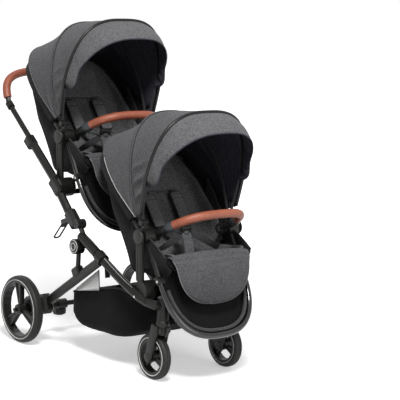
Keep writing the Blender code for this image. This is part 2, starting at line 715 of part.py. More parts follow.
def liner_sections(hub):
    """Rings of the bucket-shaped liner: place, direction of its face, half width and wall height."""
    back_run = Vector((BACK_TOP[0] - BIGHT[0], BACK_TOP[1] - BIGHT[1])).normalized()
    back_face = Vector((-back_run.y, back_run.x))
    base_run = Vector((BIGHT[0] - SEAT_EDGE[0], BIGHT[1] - SEAT_EDGE[1])).normalized()
    base_face = Vector((-base_run.y, base_run.x))
    bend_face = (base_face + back_face).normalized()
    length = math.hypot(BACK_TOP[0] - BIGHT[0], BACK_TOP[1] - BIGHT[1])
    rows = []
    for share, half, wall, depth in ((0.0, 0.029, 0.014, 0.60), (0.08, 0.020, 0.022, 0.95), (0.5, 0.014, 0.026, 1.0), (0.86, 0.009, 0.036, 1.0)):
        rows.append((along_line(SEAT_EDGE, BIGHT, share), base_face, LINER_HALF - half, wall, depth))
    rows.append(((BIGHT[0] + 0.004, BIGHT[1] + 0.002), bend_face, LINER_HALF, 0.050, 1.0))
    for share, half, wall, depth in ((0.10, 0.0, 0.056, 1.0), (0.30, 0.0, 0.062, 1.1), (0.50, 0.003, 0.044, 1.1),
                                     (0.68, 0.006, 0.028, 1.1), (0.84, 0.021, 0.014, 1.0), (0.96, 0.046, 0.004, 0.9), (1.0, 0.068, 0.002, 0.5)):
        place = along_line(BIGHT, BACK_TOP, share)
        rows.append((place, back_face, LINER_HALF - half, wall, depth))
    rings = []
    for place, face, half, wall, depth in rows:
        centre = Vector(seat_place(hub, place))
        thick = LINER_THICKNESS * depth
        crown = 0.006 * depth
        inner = half - LINER_WALL
        outline = [(-half, wall - 0.004), (-half + LINER_WALL * 0.5, wall), (-inner, wall * 0.5), (-inner + 0.014, 0.0),
                   (-inner * 0.45, crown), (0, crown * 0.6), (inner * 0.45, crown), (inner - 0.014, 0.0), (inner, wall * 0.5),
                   (half - LINER_WALL * 0.5, wall), (half, wall - 0.004), (half, -thick * 0.6), (half * 0.86, -thick),
                   (0, -thick * 1.06), (-half * 0.86, -thick), (-half, -thick * 0.6)]
        rings.append([(x, centre.x + face.x * rise, centre.y + face.y * rise) for x, rise in outline])
    return rings


def seat_liner(hub):
    return loft(liner_sections(hub))


def back_place(share, rise):
    """A side place on the backrest, at a share of its height and a rise off its face."""
    run = Vector((BACK_TOP[0] - BIGHT[0], BACK_TOP[1] - BIGHT[1])).normalized()
    foot = along_line(BIGHT, BACK_TOP, share)
    return (foot[0] - run.y * rise, foot[1] + run.x * rise)


def back_slope():
    return math.atan2(BACK_TOP[1] - BIGHT[1], BACK_TOP[0] - BIGHT[0])


def pillow(size, centre, slope, crown):
    """A crowned cushion: edges drawn in, faces swelling towards the middle."""
    bm = bmesh.new()
    bmesh.ops.create_cube(bm, size=2)
    bmesh.ops.subdivide_edges(bm, edges=bm.edges, cuts=3, use_grid_fill=True)
    for vert in bm.verts:
        across, along, up = vert.co
        fall = max(0.0, (1 - across ** 4) * (1 - along ** 4))
        pull = 1 - 0.06 * abs(across * along) - 0.05 * abs(up)
        vert.co = (across * size[0] / 2 * pull, along * size[1] / 2 * pull, up * size[2] / 2 * mix(1 - crown, 1, fall))
    bm.transform(Matrix.Translation(centre) @ Matrix.Rotation(slope, 4, "X"))
    return from_bmesh("pillow", bm, 180)


def headrest(hub):
    centre = seat_place(hub, back_place(0.74, 0.026))
    return pillow((0.180, 0.125, 0.036), (0, *centre), back_slope(), 0.45)


def harness(hub):
    """Shoulder pads, straps, buckle and crotch strap as one soft piece."""
    buckle = seat_place(hub, (0.020, -0.004))
    made = block((0.044, 0.014, 0.044), (0, *buckle), 0.35, 0.005)
    for name, side in SIDES:
        top = seat_place(hub, back_place(0.56, 0.028))
        low = seat_place(hub, back_place(0.26, 0.036))
        pad = bar(0, top, low, 0.046, 0.016, 0.005)
        pad.location.x = side * 0.060
        strap = tube([(side * 0.060, *low), (side * 0.034, *along_line(low, buckle, 0.6)), (side * 0.010, *buckle)], 0.0055, 1)
        made = join(made, baked(pad), strap)
    crotch = tube([(0, *buckle), (0, *seat_place(hub, (0.004, -0.070)))], 0.0075, 1)
    return join(made, crotch)


def foot_frame(hub):
    """The bent tube of the footrest, with a knuckle at each joint."""
    joint = seat_place(hub, FOOT_JOINT)
    lean, reach = lean_of(FOOT_JOINT, FOOT_TIP)
    made = tube(hoop(joint, SEAT_HALF, lean, reach, 2.6, 15), FOOT_TUBE)
    for name, side in SIDES:
        knuckle = rod(KNUCKLE_RADIUS, on_side(side, SEAT_HALF - 0.014, joint), on_side(side, SEAT_HALF + 0.014, joint), 20)
        made = join(made, knuckle)
    return made


def hanging_pad(hub, top, tip, half, power, thickness, crown, rows):
    """A soft apron with a rounded lower end, as a loft from its top edge down."""
    top = seat_place(hub, top)
    tip = seat_place(hub, tip)
    run = Vector((tip[0] - top[0], tip[1] - top[1]))
    face = Vector((run.y, -run.x)).normalized()
    rings = []
    for share in rows:
        width = half * max(1 - share ** power, 0.0) ** (1 / power)
        centre = Vector(top) + run * share
        depth = thickness * (1 - 0.5 * share ** 6)
        sag = 1 if crown < 0 else 0
        ring = []
        for across in (-1.0, -0.8, -0.4, 0.0, 0.4, 0.8, 1.0):
            swell = crown * (1 - across ** 2) * math.sin(math.pi * min(share + 0.15, 1.0))
            ring.append((across * width, centre.x + face.x * (depth / 2 + swell), centre.y + face.y * (depth / 2 + swell)))
        for across in (1.0, 0.8, 0.4, 0.0, -0.4, -0.8, -1.0):
            swell = sag * crown * (1 - across ** 2) * math.sin(math.pi * min(share + 0.15, 1.0))
            ring.append((across * width, centre.x + face.x * (swell - depth / 2), centre.y + face.y * (swell - depth / 2)))
        rings.append(ring)
    return loft(rings)


def calf_pad(hub):
    return hanging_pad(hub, CALF_TOP, CALF_TIP, SEAT_HALF - CALF_INSET, 2.6, CALF_DEPTH, 0.010,
                       (0.0, 0.15, 0.4, 0.65, 0.85, 0.95, 0.985))


def foot_pocket(hub):
    """Dark cloth slung inside the footrest's bent tube, from the knee down to the feet."""
    return hanging_pad(hub, SLING_TOP, SLING_TIP, SEAT_HALF - SLING_INSET, 2.6, SLING_DEPTH, -0.014,
                       (0.0, 0.25, 0.5, 0.75, 0.9, 0.97))


def bumper_bar(hub):
    """Bent bar across the front of a seat, from drum to drum."""
    lean, reach = lean_of(BUMPER_START, BUMPER_TIP)
    start = seat_place(hub, BUMPER_START)
    made = tube(hoop(start, BUMPER_HALF, lean, reach, 3.0, 15), BUMPER_TUBE)
    for name, side in SIDES:
        boss = rod(0.019, on_side(side, BUMPER_HALF - 0.012, hub), on_side(side, DRUM_INNER - RUNNING, hub), 18)
        made = join(made, boss)
    return made


def hood_bow(hub, bow, inset):
    lean, reach, power = bow
    pivot = seat_place(hub, HOOD_PIVOT)
    back = BOW_TUBE + GAP
    pivot = (pivot[0] + back * math.cos(lean), pivot[1] + back * math.sin(lean))
    return tube(hoop(pivot, HOOD_HALF - inset, lean, reach - 0.016, power, 19, 0.015, 0.985, HOOD_TOE), BOW_TUBE, 1)


def shell_ring(outer, inner):
    return [tuple(point) for point in outer] + [tuple(point) for point in reversed(inner)]


def hood_fabric(hub):
    """The cloth of the hood: the back panel round the seat's tube, then rear hem, middle bow and front bow."""
    pivot = seat_place(hub, HOOD_PIVOT)
    rings = []
    lean, reach, power = BACK_HOOP
    clear = SEAT_TUBE + GAP
    behind = (hub[0] + math.cos(lean) * clear * 1.3, hub[1] + math.sin(lean) * clear * 1.3)
    half = DRUM_OUTER - 0.012 + clear
    rings.append(shell_ring(hoop(behind, half + HOOD_CLOTH, lean, reach + clear + HOOD_CLOTH, power, 19, 0.07, 0.93),
                            hoop(behind, half, lean, reach + clear, power, 19, 0.07, 0.93)))
    panels = ((REAR_HEM, MID_BOW, (0, 0.25, 0.5, 0.75), HOOD_DIPS[0]), (MID_BOW, FRONT_BOW, (0, 0.33, 0.67, 1), HOOD_DIPS[1]))
    for low, high, shares, dip in panels:
        for share in shares:
            lean, reach, power = (mix(a, b, share) for a, b in zip(low, high))
            reach -= dip * math.sin(math.pi * share)
            outer = hoop(pivot, HOOD_HALF, lean, reach, power, 19, 0.05, 0.95, HOOD_TOE)
            inner = hoop(pivot, HOOD_HALF - HOOD_CLOTH, lean, reach - HOOD_CLOTH, power, 19, 0.05, 0.95, HOOD_TOE)
            rings.append(shell_ring(outer, inner))
    return loft(rings)


def hood_visor(hub):
    """The stiff front of the hood, from the front bow to its drooping edge."""
    pivot = seat_place(hub, HOOD_PIVOT)
    lean, reach, power = FRONT_BOW
    pivot = (pivot[0] - GAP * math.cos(lean), pivot[1] - GAP * math.sin(lean))
    edge_lean, edge_reach, edge_power = VISOR
    foot = (pivot[0] - VISOR_FOOT * math.sin(lean), pivot[1] + VISOR_FOOT * math.cos(lean))
    skin = []
    for inset in (0.0, HOOD_CLOTH):
        back = hoop(pivot, HOOD_HALF - inset, lean, reach - inset, power, 19, 0.145, 0.855, HOOD_TOE)
        edge = hoop(foot, VISOR_HALF - inset, edge_lean, edge_reach - inset, edge_power, 19, 0.02, 0.98)
        skin.append((back, edge))
    rings = []
    for share in (0.0, 0.45, 1.0):
        bulge = 0.010 * math.sin(math.pi * share)
        sheets = []
        for back, edge in skin:
            sheet = []
            for index, (a, b) in enumerate(zip(back, edge)):
                point = a.lerp(b, share)
                out = Vector((point.x, point.y - foot[0], point.z - foot[1])).normalized()
                sheet.append(point + out * bulge * math.sin(math.pi * index / 18))
            sheets.append(sheet)
        rings.append(shell_ring(*sheets))
    return loft(rings)


# Putting the pram together

def build_frame():
    for name, side in SIDES:
        finish(side_tube(side), "side_tube_" + name, frame_black())
        finish(rear_leg(side), "rear_leg_" + name, frame_black())
        finish(strut(side), "strut_" + name, frame_black())
        finish(upper_tube(side), "upper_tube_" + name, frame_black())
        finish(fold_housing(side), "fold_housing_" + name, moulded())
        finish(fold_lever(side), "fold_lever_" + name, moulded())
        finish(adjuster_button(side), "adjuster_button_" + name, moulded())
    finish(cross_tube(CROSS_RADIUS, HEAD_X - HEAD_RADIUS - GAP, (SWIVEL_Y, HEAD_TOP - CROSS_DROP)), "front_cross_tube", frame_black())
    finish(cross_tube(CROSS_RADIUS, FRAME_HALF - 0.025 - GAP, (0, REAR_RADIUS)), "rear_axle_tube", frame_black())
    middle = seat_place(REAR_HUB, (MOUNT_CENTRE[0] - 0.006, MOUNT_CENTRE[1] - 0.018))
    finish(cross_tube(CROSS_RADIUS, MOUNT_INNER - GAP, middle), "middle_cross_tube", frame_black())
    finish(handle_bar(), "handle_bar", frame_black())
    finish(handle_grip(), "handle_grip", material("brown_leather", LEATHER, 0.5))
    finish(brake_pedal(), "brake_pedal", moulded())
    finish(basket(), "basket", material("basket_cloth", BASKET_BLACK, 0.9))


def build_wheels():
    rubber = material("tyre_rubber", TYRE, 0.7)
    for name, side in SIDES:
        rear = (side * REAR_TRACK, 0, REAR_RADIUS)
        front = (side * FRONT_TRACK, FRONT_AXLE_Y, FRONT_RADIUS)
        finish(tyre(REAR_RADIUS, REAR_WIDTH, rear), "rear_tyre_" + name, rubber)
        finish(rim(REAR_RADIUS, REAR_WIDTH, rear, 0.019, REAR_PIN), "rear_rim_" + name, moulded())
        finish(front_fork(side), "front_fork_" + name, moulded())
        finish(tyre(FRONT_RADIUS, FRONT_WIDTH, front), "front_tyre_" + name, rubber)
        finish(rim(FRONT_RADIUS, FRONT_WIDTH, front, FRONT_HUB_HALF, FRONT_PIN), "front_rim_" + name, moulded())


def build_seat(label, hub):
    cloth = material("charcoal_cloth", CHARCOAL, 0.9)
    dark = material("dark_cloth", DARK_CLOTH, 0.9)
    for name, side in SIDES:
        finish(seat_bracket(side, hub), label + "_bracket_" + name, frame_black())
    finish(seat_frame(hub), label + "_seat_frame", frame_black())
    finish(seat_liner(hub), label + "_seat_liner", dark)
    finish(headrest(hub), label + "_headrest", dark)
    finish(harness(hub), label + "_harness", dark)
    finish(foot_frame(hub), label + "_foot_frame", material("gloss_black", GLOSS, 0.15, 0.5))
    finish(foot_pocket(hub), label + "_foot_pocket", dark)
    finish(calf_pad(hub), label + "_calf_pad", cloth)
    finish(bumper_bar(hub), label + "_bumper_bar", material("brown_leather", LEATHER, 0.5))
    finish(hood_bow(hub, FRONT_BOW, 0.012), label + "_front_bow", moulded())
    finish(hood_bow(hub, MID_BOW, 0.024), label + "_middle_bow", moulded())
    finish(hood_fabric(hub), label + "_hood", cloth)
    finish(hood_visor(hub), label + "_visor", cloth)


build_frame()
build_wheels()
build_seat("front", FRONT_HUB)
build_seat("rear", REAR_HUB)
places = [vert.co.y for piece in pram.objects if piece.type == "MESH" for vert in piece.data.vertices]
ORIGIN_SHIFT = round(-(min(places) + max(places)) / 2, 5)
origin.location = (0, ORIGIN_SHIFT, 0)
bpy.context.view_layer.update()
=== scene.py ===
"""The looks of a double pram: cloth hoods, padded seats, leather, rubber and moulded parts."""
import math

import bmesh
import bpy
from mathutils import Matrix, Vector, noise


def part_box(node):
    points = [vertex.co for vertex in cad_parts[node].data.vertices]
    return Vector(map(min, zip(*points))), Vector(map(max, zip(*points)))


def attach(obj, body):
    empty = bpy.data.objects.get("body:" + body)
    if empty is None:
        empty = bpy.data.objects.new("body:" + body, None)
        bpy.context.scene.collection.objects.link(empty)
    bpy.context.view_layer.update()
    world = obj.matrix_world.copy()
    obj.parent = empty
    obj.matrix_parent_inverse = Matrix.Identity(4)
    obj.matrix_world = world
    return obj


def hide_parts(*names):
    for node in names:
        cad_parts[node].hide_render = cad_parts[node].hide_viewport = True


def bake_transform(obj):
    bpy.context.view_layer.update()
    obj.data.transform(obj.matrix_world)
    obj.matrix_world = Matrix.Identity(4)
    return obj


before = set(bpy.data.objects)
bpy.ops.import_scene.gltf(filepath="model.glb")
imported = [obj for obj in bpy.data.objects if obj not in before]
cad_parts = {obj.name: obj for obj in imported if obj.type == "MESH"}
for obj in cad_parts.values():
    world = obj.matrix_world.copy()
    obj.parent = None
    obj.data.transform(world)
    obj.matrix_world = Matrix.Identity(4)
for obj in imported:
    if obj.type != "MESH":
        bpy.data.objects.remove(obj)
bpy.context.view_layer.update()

low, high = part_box("rear_axle_tube")
SHIFT = (low[1] + high[1]) / 2
SIDES = (("right", -1), ("left", 1))
STIFF_CLOTH = 0.003
CANVAS = 0.0026
BACK_CLOTH = 0.0022
THIN_CLOTH = 0.0012
HUBS = {"front": (-0.615 + SHIFT, 0.492), "rear": (-0.125 + SHIFT, 0.778)}


# Places and curves

def mix(a, b, share):
    return a + (b - a) * share


def bump01(value, low, high):
    """A smooth step from 0 at low to 1 at high."""
    share = min(max((value - low) / (high - low), 0.0), 1.0)
    return share * share * (3 - 2 * share)


def groove(value, place, width):
    """1 on a seam's line, falling to 0 beside it."""
    return math.exp(-((value - place) / width) ** 2)


def seat_place(hub, place):
    return (hub[0] + place[0], hub[1] + place[1])


def along_line(start, end, share):
    return tuple(mix(a, b, share) for a, b in zip(start, end))


def lean_of(start, end):
    """Lean and length of the run from one side place to another."""
    run = (end[0] - start[0], end[1] - start[1])
    return math.atan2(-run[0], run[1]), math.hypot(*run)


def even(points, count, first=0.0, last=1.0):
    """Equally spaced points along a line of points, between two shares of its length."""
    points = [Vector(point) for point in points]
    lengths = [0.0]
    for before, after in zip(points, points[1:]):
        lengths.append(lengths[-1] + (after - before).length)
    picked = []
    leg = 0
    for index in range(count):
        goal = lengths[-1] * (first + (last - first) * index / (count - 1))
        while leg < len(points) - 2 and lengths[leg + 1] < goal:
            leg += 1
        share = (goal - lengths[leg]) / max(lengths[leg + 1] - lengths[leg], 1e-9)
        picked.append(points[leg].lerp(points[leg + 1], min(max(share, 0.0), 1.0)))
    return picked


def hoop(base, half, lean, reach, power, count=17, first=0.0, last=1.0, toe=0.0):
    """A rounded U from -half to +half: lean is its angle from straight up towards the front."""
    fine = []
    for index in range(241):
        turn = math.pi * index / 240
        across = -half * math.copysign(abs(math.cos(turn)) ** (2 / power), math.cos(turn))
        along = reach * abs(math.sin(turn)) ** (2 / power)
        across *= 1 - toe * max(0.0, 1 - along / 0.16)
        fine.append((across, base[0] - along * math.sin(lean), base[1] + along * math.cos(lean)))
    return even(fine, count, first, last)


def between(quad, t):
    """The smooth curve through four values, at a share of the way from the second to the third."""
    a, b, c, d = quad
    square = (2 * a - 5 * b + 4 * c - d) * t * t
    return 0.5 * (2 * b + (c - a) * t + square + (3 * b - a - 3 * c + d) * t ** 3)


def smooth_line(points, count):
    """A curve through the points, with equally spaced places."""
    points = [Vector(point) for point in points]
    padded = [points[0] * 2 - points[1]] + points + [points[-1] * 2 - points[-2]]
    fine = []
    for leg in range(len(points) - 1):
        for step in range(12):
            fine.append(between(padded[leg:leg + 4], step / 12))
    fine.append(points[-1])
    return even(fine, count)


# Meshes

def grid(rows):
    """A sheet of faces whose corners go to rows[j][i]."""
    across = len(rows[0]) - 1
    along = len(rows) - 1
    bm = bmesh.new()
    bmesh.ops.create_grid(bm, x_segments=across, y_segments=along, size=0.5)
    layer = bm.loops.layers.uv.new("cloth")
    for vert in bm.verts:
        i = round((vert.co.x + 0.5) * across)
        j = round((vert.co.y + 0.5) * along)
        for loop in vert.link_loops:
            loop[layer].uv = (i / across, j / along)
        vert.co = rows[j][i]
    return bm


def face_away(bm, centre):
    """Turn a sheet's faces so that they look away from a point."""
    centre = Vector(centre)
    bm.normal_update()
    total = sum(face.normal.dot(face.calc_center_median() - centre) for face in bm.faces)
    if total < 0:
        bmesh.ops.reverse_faces(bm, faces=bm.faces)
    bm.normal_update()


def shell(bm, thickness, lining=0):
    """Give a sheet a second skin behind it, in the lining's material, closed along its edges."""
    bm.normal_update()
    normals = {vert: vert.normal.copy() for vert in bm.verts}
    outside = bm.faces[:]
    rim = [edge for edge in bm.edges if edge.is_boundary]
    made = bmesh.ops.duplicate(bm, geom=bm.verts[:] + bm.edges[:] + outside)
    for vert, normal in normals.items():
        made["vert_map"][vert].co -= normal * thickness
    inside = [item for item in made["geom"] if isinstance(item, bmesh.types.BMFace)]
    bmesh.ops.reverse_faces(bm, faces=inside)
    for face in inside:
        face.material_index = lining
    second = [made["edge_map"][edge] for edge in rim]
    bmesh.ops.bridge_loops(bm, edges=rim + second)
    bm.normal_update()


def ring_skin(rings):
    """A closed skin through rings of equally many places, with its two ends filled."""
    bm = grid([ring + [ring[0]] for ring in rings])
    bmesh.ops.remove_doubles(bm, verts=bm.verts, dist=0.00001)
    ends = [edge for edge in bm.edges if edge.is_boundary]
    bmesh.ops.holes_fill(bm, edges=ends, sides=0)
    bmesh.ops.recalc_face_normals(bm, faces=bm.faces)
    if bm.calc_volume(signed=True) < 0:
        bmesh.ops.reverse_faces(bm, faces=bm.faces)
    return bm


def tube(points, radius, sides=10, closed=False, radii=None):
    """A round cord through the points; radii are shares of the radius along it."""
    points = [Vector(point) for point in points]
    rings = []
    side = None
    last = len(points) - 1
    for index, point in enumerate(points):
        if closed:
            run = points[(index + 1) % len(points)] - points[index - 1]
        else:
            run = points[min(index + 1, last)] - points[max(index - 1, 0)]
        run.normalize()
        if side is None:
            side = run.cross(Vector((0, 0, 1)))
            if side.length < 0.1:
                side = run.cross(Vector((0, 1, 0)))
        side = (side - run * side.dot(run)).normalized()
        other = run.cross(side)
        size = radius * (radii[index] if radii else 1.0)
        ring = []
        for step in range(sides):
            turn = math.tau * step / sides
            ring.append(point + side * math.cos(turn) * size + other * math.sin(turn) * size)
        rings.append(ring)
    if closed:
        bm = grid([ring + [ring[0]] for ring in rings + [rings[0]]])
        bmesh.ops.remove_doubles(bm, verts=bm.verts, dist=0.00001)
        bmesh.ops.recalc_face_normals(bm, faces=bm.faces)
        return bm
    return ring_skin(rings)


def lathe(profile, centre, axis, steps=48, closed=True):
    """A turned shape round a line through the centre: the profile is (radius, height) pairs."""
    bm = bmesh.new()
    ring = [bm.verts.new((radius, 0, height)) for radius, height in profile]
    edges = [bm.edges.new(pair) for pair in zip(ring, ring[1:])]
    if closed:
        edges.append(bm.edges.new((ring[-1], ring[0])))
    bmesh.ops.spin(bm, geom=ring + edges, axis=(0, 0, 1), cent=(0, 0, 0), dvec=(0, 0, 0), angle=math.tau,
                   steps=steps, use_merge=True)
    bmesh.ops.remove_doubles(bm, verts=bm.verts, dist=0.000001)
    turn = Vector((0, 0, 1)).rotation_difference(Vector(axis)).to_matrix().to_4x4()
    bm.transform(Matrix.Translation(centre) @ turn)
    bmesh.ops.recalc_face_normals(bm, faces=bm.faces)
    if bm.calc_volume(signed=True) < 0:
        bmesh.ops.reverse_faces(bm, faces=bm.faces)
    return bm


def rounded_block(size, centre, slope=0.0, bevel=0.003, segments=3):
    """A box with rounded edges, turned about X by the slope."""
    bm = bmesh.new()
    bmesh.ops.create_cube(bm, size=1)
    bmesh.ops.scale(bm, vec=size, verts=bm.verts)
    bmesh.ops.bevel(bm, geom=bm.edges, offset=bevel, segments=segments, affect="EDGES",
                     profile=0.5, material=-1)
    bm.transform(Matrix.Translation(centre) @ Matrix.Rotation(slope, 4, "X"))
    return bm


def pillow(size, centre, slope, crown=0.5, cuts=9, corner=0.16):
    """A stuffed cushion: drawn in at its edges, swelling towards the middle."""
    bm = bmesh.new()
    bmesh.ops.create_cube(bm, size=2)
    bmesh.ops.subdivide_edges(bm, edges=bm.edges, cuts=cuts, use_grid_fill=True)
    for vert in bm.verts:
        across, along, up = vert.co
        fall = max(0.0, (1 - across ** 4) * (1 - along ** 4)) ** 0.6
        pull = 1 - corner * (across * along) ** 2
        rise = up * mix(1 - crown, 1, fall)
        vert.co = (across * size[0] / 2 * pull, along * size[1] / 2 * pull, rise * size[2] / 2)
    bm.transform(Matrix.Translation(centre) @ Matrix.Rotation(slope, 4, "X"))
    return bm


def add(bm, other, index):
    """Put another mesh into this one, in the material of that number, and free it."""
    for face in other.faces:
        face.material_index = index
    mesh = bpy.data.meshes.new("added")
    other.to_mesh(mesh)
    other.free()
    bm.from_mesh(mesh)
    bpy.data.meshes.remove(mesh)


def piece(name, bm, finishes, body, stands_for=(), soften=0, smooth=180):
    """A finished piece: it rides on a body, or with None is left on no body."""
    mesh = bpy.data.meshes.new(name)
    bm.to_mesh(mesh)
    bm.free()
    mesh.shade_smooth()
    if smooth < 180:
        mesh.set_sharp_from_angle(angle=math.radians(smooth))
    for finish in finishes:
        mesh.materials.append(finish)
    made = bpy.data.objects.new(name, mesh)
    bpy.context.scene.collection.objects.link(made)
    if soften:
        subdivision = made.modifiers.new("soften", "SUBSURF")
        subdivision.levels = soften
        subdivision.render_levels = soften
    if body:
        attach(made, body)
    if stands_for:
        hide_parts(*stands_for)
    return made


# Finishes

def new_material(name, colour, roughness, metallic=0.0):
    made = bpy.data.materials.new(name)
    made.use_nodes = True
    shader = made.node_tree.nodes["Principled BSDF"]
    shader.inputs["Base Color"].default_value = (*colour, 1)
    shader.inputs["Roughness"].default_value = roughness
    shader.inputs["Metallic"].default_value = metallic
    place = made.node_tree.nodes.new("ShaderNodeTexCoord")
    return made, made.node_tree, shader, place.outputs["Object"]


def noise_node(tree, place, scale, detail=4.0, rough=0.6, stretch=None):
    if stretch:
        mapping = tree.nodes.new("ShaderNodeMapping")
        mapping.inputs["Scale"].default_value = stretch
        tree.links.new(place, mapping.inputs["Vector"])
        place = mapping.outputs["Vector"]
    made = tree.nodes.new("ShaderNodeTexNoise")
    made.inputs["Scale"].default_value = scale
    made.inputs["Detail"].default_value = detail
    made.inputs["Roughness"].default_value = rough
    tree.links.new(place, made.inputs["Vector"])
    return made.outputs["Fac"]


def ramp_node(tree, value, stops):
    made = tree.nodes.new("ShaderNodeValToRGB")
    ramp = made.color_ramp
    while len(ramp.elements) < len(stops):
        ramp.elements.new(0.5)
    for element, (place, colour) in zip(ramp.elements, stops):
        element.position = place
        element.color = (*colour, 1)
    tree.links.new(value, made.inputs["Fac"])
    return made.outputs["Color"]


def bump_node(tree, shader, height, distance, strength):
    made = tree.nodes.new("ShaderNodeBump")
    made.inputs["Distance"].default_value = distance
    made.inputs["Strength"].default_value = strength
    tree.links.new(height, made.inputs["Height"])
    tree.links.new(made.outputs["Normal"], shader.inputs["Normal"])


def math_node(tree, operation, a, b):
    made = tree.nodes.new("ShaderNodeMath")
    made.operation = operation
    for socket, value in zip(made.inputs, (a, b)):
        if isinstance(value, (int, float)):
            socket.default_value = value
        else:
            tree.links.new(value, socket)
    return made.outputs["Value"]


def swing(tree, value, weight):
    """A pattern's swing below and above its middle, times a weight."""
    return math_node(tree, "MULTIPLY", math_node(tree, "SUBTRACT", value, 0.5), weight)


def vary(tree, socket, value, colour, places, shares):
    """Feed a socket a colour that goes from a dimmer to a brighter share of it as a pattern rises."""
    stops = [(place, tuple(min(part * share, 1.0) for part in colour)) for place,
             share in zip(places, shares)]
    tree.links.new(ramp_node(tree, value, stops), socket)


def wave_node(tree, place, direction, scale, distortion=0.6):
    made = tree.nodes.new("ShaderNodeTexWave")
    made.bands_direction = direction
    made.inputs["Scale"].default_value = scale
    made.inputs["Distortion"].default_value = distortion
    made.inputs["Detail"].default_value = 1.0
    tree.links.new(place, made.inputs["Vector"])
    return made.outputs["Fac"]


def cloth_material(name, dark, light, scale=900, weave=260, depth=0.0004, sheen=0.25, blotch=0.0, rough=0.9):
    """Woven cloth of mixed dark and light threads."""
    made, tree, shader, place = new_material(name, light, rough)
    threads = noise_node(tree, place, scale, 6.0, 0.75)
    flecks = noise_node(tree, place, 170, 3.0, 0.7, (1.0, 1.0, 1.5))
    large = noise_node(tree, place, 9, 3.0, 0.5)
    mixed = math_node(tree, "ADD", threads, swing(tree, large, blotch))
    mixed = math_node(tree, "ADD", mixed, swing(tree, flecks, 1.5))
    colour = ramp_node(tree, mixed, ((0.30, dark), (0.68, light)))
    tree.links.new(colour, shader.inputs["Base Color"])
    across = wave_node(tree, place, "X", weave)
    upward = wave_node(tree, place, "Z", weave)
    height = math_node(tree, "ADD", math_node(tree, "MAXIMUM", across, upward), threads)
    bump_node(tree, shader, height, depth, 0.55)
    shader.inputs["Sheen Weight"].default_value = sheen
    shader.inputs["Sheen Roughness"].default_value = 0.6
    shader.inputs["Sheen Tint"].default_value = (0.5, 0.5, 0.52, 1)
    shader.inputs["Specular IOR Level"].default_value = 0.2
    return made


def painted_material(name, colour, roughness, coat=0.0, grain=0.00005, metallic=0.3):
    """Powder-coated or lacquered tube with faint unevenness and a little wear."""
    made, tree, shader, place = new_material(name, colour, roughness, metallic)
    fine = noise_node(tree, place, 1400, 2.0, 0.5)
    large = noise_node(tree, place, 14, 4.0, 0.6)
    vary(tree, shader.inputs["Roughness"], large, (roughness,) * 3, (0.35, 0.7), (0.85, 1.2))
    vary(tree, shader.inputs["Base Color"], large, colour, (0.3, 0.75), (0.8, 1.25))
    bump_node(tree, shader, fine, grain, 0.4)
    shader.inputs["Coat Weight"].default_value = coat
    shader.inputs["Coat Roughness"].default_value = 0.06
    shader.inputs["Specular IOR Level"].default_value = 0.3
    return made


def moulded_material(name, colour, roughness, grain=700):
    """Moulded plastic with a fine spark-eroded grain."""
    made, tree, shader, place = new_material(name, colour, roughness)
    fine = noise_node(tree, place, grain, 3.0, 0.6)
    large = noise_node(tree, place, 20, 3.0, 0.6)
    vary(tree, shader.inputs["Base Color"], large, colour, (0.3, 0.75), (0.85, 1.2))
    vary(tree, shader.inputs["Roughness"], fine, (roughness,) * 3, (0.3, 0.7), (0.9, 1.12))
    bump_node(tree, shader, fine, 0.00012, 0.5)
    shader.inputs["Specular IOR Level"].default_value = 0.3
    return made


def leather_material(name, dark, light):
    """Brown imitation leather: pebbled grain, slightly worn on its high places."""
    made, tree, shader, place = new_material(name, light, 0.48)
    cells = tree.nodes.new("ShaderNodeTexVoronoi")
    cells.feature = "DISTANCE_TO_EDGE"
    cells.inputs["Scale"].default_value = 620
    tree.links.new(place, cells.inputs["Vector"])
    large = noise_node(tree, place, 26, 5.0, 0.6)
    colour = ramp_node(tree, large, ((0.28, dark), (0.72, light)))
    tree.links.new(colour, shader.inputs["Base Color"])
    height = math_node(tree, "MINIMUM", cells.outputs["Distance"], 0.12)
    bump_node(tree, shader, height, 0.0009, 0.6)
    spread = ramp_node(tree, large, ((0.3, (0.55,) * 3), (0.75, (0.42,) * 3)))
    tree.links.new(spread, shader.inputs["Roughness"])
    shader.inputs["Coat Weight"].default_value = 0.08
    shader.inputs["Coat Roughness"].default_value = 0.35
    return made


HOOD_CLOTH = cloth_material("hood_melange", (0.052, 0.052, 0.055), (0.132, 0.132, 0.136),
                            950, 250, 0.0005, 0.2, 0.25)
VISOR_CLOTH = cloth_material("visor_melange", (0.070, 0.070, 0.073), (0.155, 0.155, 0.159),
                             950, 250, 0.0005, 0.15, 0.2)
SEAT_CLOTH = cloth_material("seat_melange", (0.040, 0.040, 0.042), (0.125, 0.125, 0.129),
                            1000, 260, 0.0004, 0.12, 0.25)
PAD_CLOTH = cloth_material("pad_melange", (0.045, 0.045, 0.048), (0.108, 0.108, 0.112),
                           1000, 260, 0.0004, 0.15, 0.25)
LINING = cloth_material("hood_lining", (0.016, 0.016, 0.023), (0.046, 0.046, 0.064),
                        1400, 420, 0.0002, 0.1, 0.3, 0.7)
DARK_CLOTH = cloth_material("black_seat_cloth", (0.007, 0.007, 0.0075), (0.022, 0.022, 0.024),
                            1200, 320, 0.0003, 0.05, 0.3)
BASKET_CLOTH = cloth_material("basket_weave", (0.0035, 0.0035, 0.0035), (0.0095, 0.0095, 0.0095),
                              700, 300, 0.0003, 0.0, 0.2, 0.95)
NET = cloth_material("pale_net", (0.80, 0.80, 0.79), (0.95, 0.95, 0.94), 500, 420, 0.0002, 0.0, 0.0, 0.8)
WEBBING = cloth_material("harness_webbing", (0.010, 0.010, 0.011), (0.030, 0.030, 0.032),
                         800, 520, 0.0004, 0.15, 0.1, 0.8)
